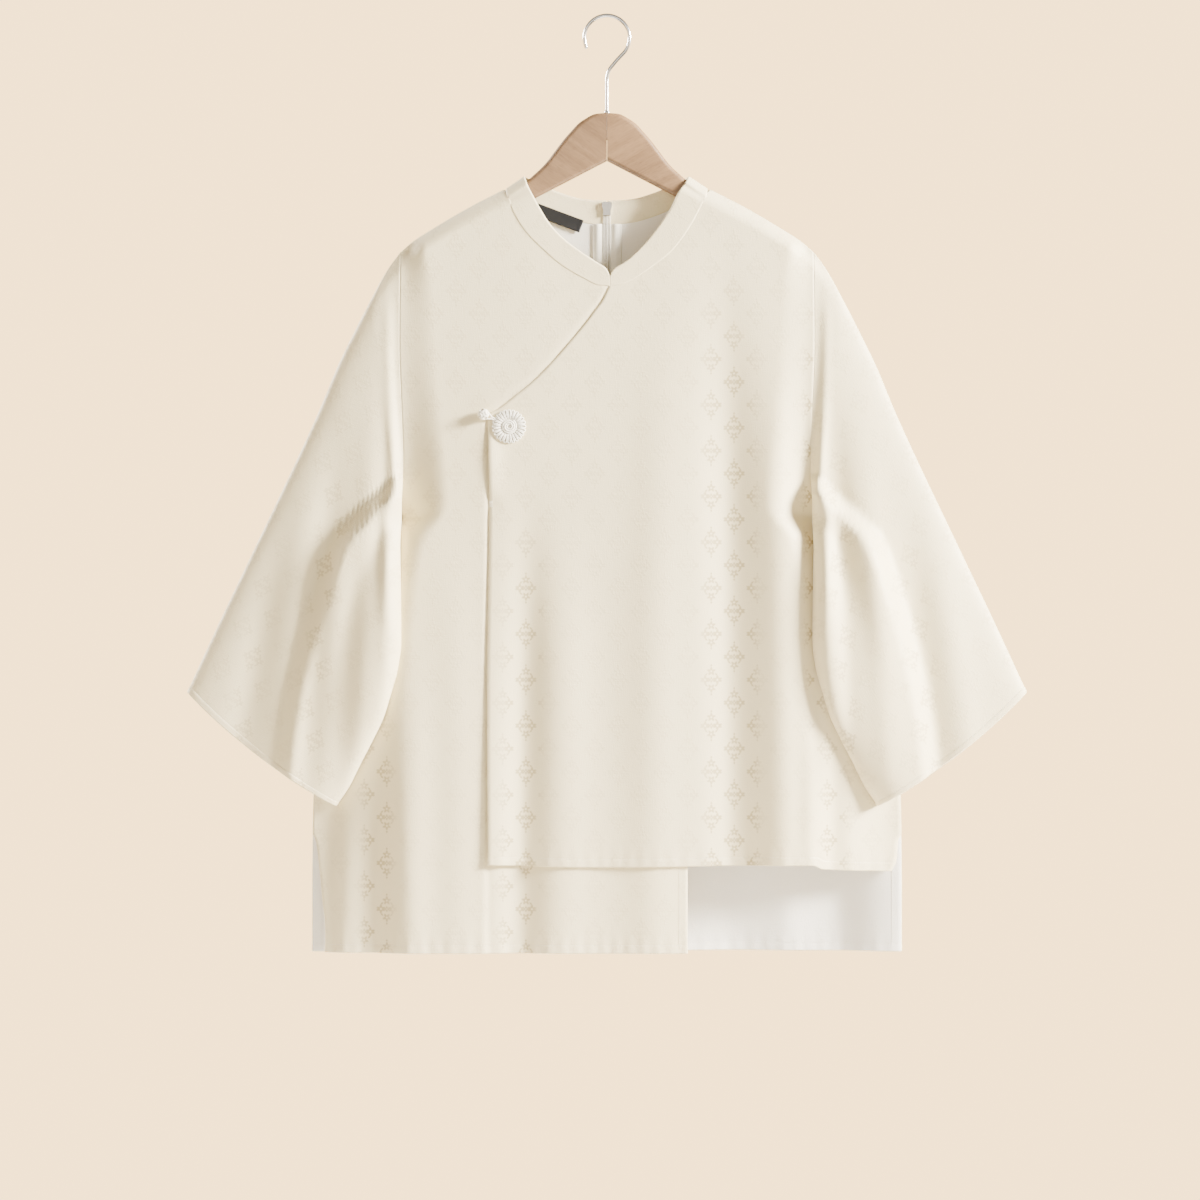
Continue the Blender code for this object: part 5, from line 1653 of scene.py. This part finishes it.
@dataclass
class Frog:
    """The frog fastening: a flower of cord petals, a knot button, and the loop that holds it."""

    form: BodyForm
    finishes: Finishes
    centre: tuple[float, float] = (-0.0898, -0.3770)
    petals: int = 24
    petal_inner: float = 0.0072
    petal_outer: float = 0.0152
    petal_cord: float = 0.00066
    coil_cord: float = 0.00095
    ball: tuple[float, float] = (-0.1130, -0.3660)
    ball_radius: float = 0.0050

    def surface(self, x: np.ndarray, z: np.ndarray) -> np.ndarray:
        """y of the cloth's outer face under the flower."""
        return self.form.over_y(x, z) - 0.0004

    def place(self, x: np.ndarray, z: np.ndarray, height: np.ndarray) -> np.ndarray:
        """Points that stand this high on the cloth, from flat places about the flower's centre."""
        x, z = self.centre[0] + x, self.centre[1] + z
        return np.stack([x, self.surface(x, z) - height, z], axis=-1)

    def flower(self) -> None:
        """Petals as narrow loops of cord, a coiled heart with a dimple, and a backing disc."""
        mesher = Mesher()
        turn = np.linspace(-0.5, 0.5, 9) * math.pi
        width = 0.00118
        for number in range(self.petals):
            angle = 2 * math.pi * number / self.petals
            out = np.array((math.cos(angle), math.sin(angle)))
            side = np.array((-out[1], out[0]))
            reach = np.concatenate([
                np.linspace(self.petal_inner, self.petal_outer - width, 7)[:-1],
                self.petal_outer - width + width * np.cos(turn),
                np.linspace(self.petal_outer - width, self.petal_inner, 7)[1:],
            ])
            taper = np.clip((reach - self.petal_inner) / 0.006, 0, 1)
            lateral = np.concatenate([-np.ones(6), np.sin(turn), np.ones(6)]) * width * (0.55 + 0.45 * taper)
            flat = reach[:, None] * out + lateral[:, None] * side
            share = (reach - self.petal_inner) / (self.petal_outer - self.petal_inner)
            height = 0.0010 + 0.0012 * np.sin(math.pi * np.clip(share, 0, 1)) + 0.0005 * (1 - share)
            mesher.tube(self.place(flat[:, 0], flat[:, 1], height), self.petal_cord, 7)
        turns = np.linspace(0, 3.15 * 2 * math.pi, 200)
        radius = 0.0011 + 0.0056 * turns / turns[-1]
        height = 0.0014 + 0.0014 * np.sin(math.pi * np.clip(radius / 0.0072, 0, 1))
        spiral = self.place(radius * np.cos(turns), radius * np.sin(turns), height)
        mesher.tube(spiral, self.coil_cord, 9)
        radii, steps = np.array((0.0001, 0.004, 0.0075, 0.011, 0.0142, 0.0142)), 48
        angles = np.arange(steps) * 2 * math.pi / steps
        heights = np.array((0.0016, 0.0018, 0.0013, 0.0011, 0.0007, 0.0))
        x, z = radii[:, None] * np.cos(angles), radii[:, None] * np.sin(angles)
        disc = self.place(x, z, np.broadcast_to(heights[:, None], x.shape))
        i, k = np.meshgrid(np.arange(len(radii) - 1), np.arange(steps), indexing="ij")
        n = (k + 1) % steps
        faces = np.stack([i * steps + k, i * steps + n, (i + 1) * steps + n, (i + 1) * steps + k], axis=-1)
        mesher.add(disc, faces, np.stack([x, z], axis=-1))
        ride(mesher.build("frog_flower_cord", self.finishes.cord), "cord", "frog_flower")

    def ball_middle(self) -> np.ndarray:
        """The middle of the knot button, which rests on the under front."""
        x, z = self.ball
        return np.array((x, float(self.form.under_y(x, z)) - 0.0007 - self.ball_radius, z))

    def knot(self) -> None:
        """A knot button woven from one cord, and the filled heart inside it."""
        mesher = Mesher()
        middle = self.ball_middle()
        t = np.linspace(0, 2 * math.pi, 260, endpoint=False)
        reach = self.ball_radius - 0.00125 + 0.00042 * np.cos(8 * t)
        height = math.radians(52) * np.sin(4 * t)
        x = reach * np.cos(height) * np.cos(3 * t)
        z = reach * np.cos(height) * np.sin(3 * t)
        y = reach * np.sin(height)
        mesher.tube(middle + np.stack([x, y, z], axis=1), 0.00118, 8, closed=True)
        rings, steps = 14, 24
        polar = np.linspace(0.05, math.pi - 0.05, rings)[:, None]
        around = (np.arange(steps) * 2 * math.pi / steps)[None]
        core = self.ball_radius - 0.0012
        ball = np.stack(np.broadcast_arrays(
            core * np.sin(polar) * np.cos(around), core * np.cos(polar), core * np.sin(polar) * np.sin(around)
        ), axis=-1)
        i, k = np.meshgrid(np.arange(rings - 1), np.arange(steps), indexing="ij")
        n = (k + 1) % steps
        faces = np.stack([i * steps + k, i * steps + n, (i + 1) * steps + n, (i + 1) * steps + k], axis=-1)
        mesher.add(middle + ball, faces, ball[..., :2])
        ride(mesher.build("frog_ball_knot", self.finishes.cord), "cord", "frog_ball")

    def loop(self) -> None:
        """Two strands from the flower that part round the knot's neck and close behind it."""
        mesher = Mesher()
        middle = self.ball_middle()
        start = np.array(self.centre)
        run = np.array(self.ball) - start
        run /= np.linalg.norm(run)
        side = np.array((-run[1], run[0]))
        stations = np.array((0.0128, 0.0155, 0.0178, 0.0200, 0.0225, 0.0252, 0.0278, 0.0296))
        spread = np.array((0.0007, 0.0007, 0.0009, 0.0020, 0.0032, 0.0036, 0.0026, 0.0004))
        x0, z0 = start + run * stations[0]
        flower_y = float(self.surface(x0, z0)) - 0.0012
        for way in (-1, 1):
            flat = start + run * stations[:, None] + side * (way * spread)[:, None]
            share = eased((stations - stations[0]) / (stations[4] - stations[0]))
            y = flower_y + (middle[1] + 0.0026 - flower_y) * share
            path = np.stack([flat[:, 0], y, flat[:, 1]], axis=1)
            chord = np.linspace(0, len(path) - 1, 44)
            smooth = np.stack([monotone(np.arange(len(path)), column, chord) for column in path.T], axis=1)
            mesher.tube(smooth, 0.00078, 7)
        ride(mesher.build("frog_loop_cord", self.finishes.cord), "cord", "frog_loop")

    def build(self) -> None:
        """Make the whole fastening."""
        self.flower()
        self.knot()
        self.loop()


@dataclass
class Hanger:
    """Two mitred beech arms with rounded edges, and the wire hook that rises from their joint."""

    form: BodyForm
    finishes: Finishes
    y: float = -0.0004
    half: float = 0.0049
    round_off: float = 0.0042
    top_z: float = -0.0880
    under_z: float = -0.1323
    under_slope: float = 0.52
    below_shoulder: float = 0.0074
    wire: float = 0.00175
    inside: float = 0.0190
    foot_z: float = -0.1120
    end_degrees: float = 205
    outline: Rows = field(default_factory=lambda: table(
        "x z", (0.0100, -0.0887), (0.0210, -0.0940), (0.0260, -0.0975), (0.0340, -0.1060),
        (0.0385, -0.1110), (0.0485, -0.1240), (0.0570, -0.1350), (0.0730, -0.1500),
        (0.0850, -0.1600),
    ))
    end: Rows = field(default_factory=lambda: table(
        "x z", (0.1755, -0.2150), (0.1765, -0.2185), (0.1745, -0.2222), (0.1700, -0.2208)
    ))

    def arm_outline(self) -> np.ndarray:
        """Half the hanger in XZ: over the hub, under the shoulder, round the end and back."""
        x = np.linspace(0.0960, 0.1710, 6)
        level = np.stack([x, self.form.shoulder_z(x) - self.below_shoulder], axis=1)
        top = along(np.concatenate([[(0.00015, self.top_z)], points_of(self.outline), level]), even(70))
        end = along(np.concatenate([top[-1:], points_of(self.end)]), even(12))[1:]
        under = np.stack([np.linspace(0.150, 0.00015, 24), np.zeros(24)], axis=1)
        under[:, 1] = self.under_z - self.under_slope * under[:, 0]
        return np.concatenate([top, end, under])

    def arm(self, side: Side, wood: bpy.types.Material) -> None:
        """One arm.

        Args:
            side: Left or right.
            wood: Its finish.
        """
        outline = self.arm_outline() * (side.value, 1)
        bm = bmesh.new()
        face = bm.faces.new([bm.verts.new((x, self.y - self.half, z)) for x, z in outline])
        extruded = bmesh.ops.extrude_face_region(bm, geom=[face])
        moved = [item for item in extruded["geom"] if isinstance(item, bmesh.types.BMVert)]
        bmesh.ops.translate(bm, verts=moved, vec=(0, 2 * self.half, 0))
        rims = []
        for edge in bm.edges:
            flat = abs(edge.verts[0].co.y - edge.verts[1].co.y) < self.half
            meets = max(abs(vertex.co.x) for vertex in edge.verts) < 0.0003
            if flat and not meets:
                rims.append(edge)
        bmesh.ops.bevel(
            bm, geom=rims, offset=self.round_off, segments=7, profile=0.5, affect="EDGES", clamp_overlap=False
        )
        bmesh.ops.recalc_face_normals(bm, faces=bm.faces)
        name = f"hanger_arm_{side.name.lower()}"
        mesh = bpy.data.meshes.new(name + "_wood")
        bm.to_mesh(mesh)
        bm.free()
        mesh.shade_smooth()
        mesh.set_sharp_from_angle(angle=math.radians(45))
        mesh.materials.append(wood)
        piece = bpy.data.objects.new(name + "_wood", mesh)
        bpy.context.scene.collection.objects.link(piece)
        ride(piece, "beech", name)

    def hook(self) -> None:
        """The wire: a stem, a set to one side, and the round hook."""
        radius = self.inside + self.wire
        stem = [(0, z) for z in np.linspace(self.foot_z, -0.0560, 20)]
        turn = np.radians(np.linspace(-38, self.end_degrees, 90))
        bow = [(radius * math.cos(a), -self.inside + radius * math.sin(a)) for a in turn]
        neck = along(np.array([stem[-1], (0.0014, -0.0500), (0.0074, -0.0415), bow[0]]), even(16))[1:-1]
        flat = np.concatenate([stem, neck, bow])
        path = np.stack([flat[:, 0], np.full(len(flat), self.y), flat[:, 1]], axis=1)
        mesher = Mesher()
        mesher.tube(path, self.wire, 20)
        collar = np.array([(0, self.y, z) for z in (-0.0886, -0.0880, -0.0868, -0.0862)])
        mesher.tube(collar, np.array((0.0024, 0.0028, 0.0028, 0.0022)), 20)
        ride(mesher.build("hanger_hook_wire", self.finishes.chrome), "steel", "hanger_hook")

    def build(self) -> None:
        """Make the hanger."""
        self.arm(Side.LEFT, self.finishes.beech_left)
        self.arm(Side.RIGHT, self.finishes.beech_right)
        self.hook()


@dataclass
class Studio:
    """The pale floor, the soft lights and the camera."""

    finishes: Finishes
    horizon_behind: tuple[float, float, float] = (4.80, 3.15, 1.38)
    horizon_before: tuple[float, float, float] = (1.15, 0.95, 0.66)
    ceiling: tuple[float, float, float] = (0.36, 0.34, 0.30)
    floor_z: float = -1.27
    floor_radius: float = 1.15
    centre: tuple[float, float] = (-0.0064, -0.5360)
    distance: float = 4.0
    width: float = 1.104
    sensor: float = 36.0

    def light(self, name: str, place: tuple, size: float, power: float, colour: tuple) -> None:
        """Add a soft light that faces the garment.

        Args:
            name: Its name.
            place: Where it stands.
            size: The width of its square face.
            power: Its power in watts.
            colour: Its colour.
        """
        lamp = bpy.data.lights.new(name, "AREA")
        lamp.shape, lamp.size, lamp.energy, lamp.color = "SQUARE", size, power, colour
        holder = bpy.data.objects.new(name, lamp)
        holder.location = place
        aim = Vector((self.centre[0], 0, self.centre[1])) - Vector(place)
        holder.rotation_euler = aim.to_track_quat("-Z", "Y").to_euler()
        bpy.context.scene.collection.objects.link(holder)

    def floor(self) -> None:
        """A round pale floor, well under the garment."""
        radii = self.floor_radius * np.array((0.001, 0.5, 0.9, 0.985, 0.997, 1.0, 1.0))[:, None]
        drops = np.array((0.0, 0.0, 0.0, 0.0, 0.0015, 0.004, 0.03))[:, None]
        turns = (np.arange(160) * 2 * math.pi / 160)[None]
        places = np.broadcast_arrays(radii * np.cos(turns), radii * np.sin(turns), self.floor_z - drops)
        grid = np.stack(places, axis=-1)
        i, k = np.meshgrid(np.arange(len(radii) - 1), np.arange(160), indexing="ij")
        n = (k + 1) % 160
        faces = np.stack([i * 160 + k, (i + 1) * 160 + k, (i + 1) * 160 + n, i * 160 + n], axis=-1)
        mesher = Mesher()
        mesher.add(grid, faces, grid[..., :2])
        mesher.build("studio_floor", self.finishes.paper)

    def camera(self) -> None:
        """A long lens, level with the middle of the picture."""
        data = bpy.data.cameras.new("camera")
        data.sensor_width = self.sensor
        data.lens = self.sensor * self.distance / self.width
        holder = bpy.data.objects.new("camera", data)
        holder.location = (self.centre[0], -self.distance, self.centre[1])
        holder.rotation_euler = (math.radians(90), 0, 0)
        bpy.context.scene.collection.objects.link(holder)
        bpy.context.scene.camera = holder

    def world(self) -> None:
        """A warm pale horizon, brightest behind the garment, under a dimmer, cooler ceiling."""
        world = bpy.data.worlds.new("studio")
        bpy.context.scene.world = world
        world.use_nodes = True
        graph = Graph(world)
        way = graph.add("SeparateXYZ", {"Vector": graph.add("TexCoord").outputs["Generated"]}).outputs
        level = graph.math("SUBTRACT", 1.0, graph.ramp(graph.math("ABSOLUTE", way["Z"]), 0.16, 0.50))
        behind = graph.ramp(way["Y"], -0.80, 0.80)
        horizon = graph.mix(behind, self.horizon_before, self.horizon_behind)
        background = world.node_tree.nodes["Background"]
        graph.put(background.inputs["Color"], graph.mix(level, self.ceiling, horizon))

    def build(self) -> None:
        """Set up the studio."""
        self.floor()
        self.world()
        self.light("key", (3.4, -1.15, 0.9), 1.0, 1500, (1.0, 0.95, 0.87))
        self.light("fill", (-0.9, -3.6, 0.2), 2.0, 25, (1.0, 0.97, 0.93))
        self.light("rim", (-3.0, 1.3, 0.9), 1.2, 420, (1.0, 0.97, 0.93))
        self.light("back_fill", (1.9, 2.1, -0.2), 1.8, 30, (1.0, 0.98, 0.95))
        self.camera()


def main() -> None:
    """Build the garment, its hanger and the studio, in order."""
    logging.basicConfig(level=logging.INFO, format="%(name)s: %(message)s")
    finishes = Finishes()
    form = BodyForm()
    collar = Collar(form, finishes)
    collar.build()
    panels = Panels(form, finishes)
    panels.build(collar)
    sleeves = Sleeves(form, finishes)
    sleeves.build()
    Stitching(form, finishes).build(panels, sleeves)
    Zip(form, finishes).build()
    Label(form, finishes).build()
    Frog(form, finishes).build()
    Hanger(form, finishes).build()
    Studio(finishes).build()


if __name__ == "__main__":
    main()
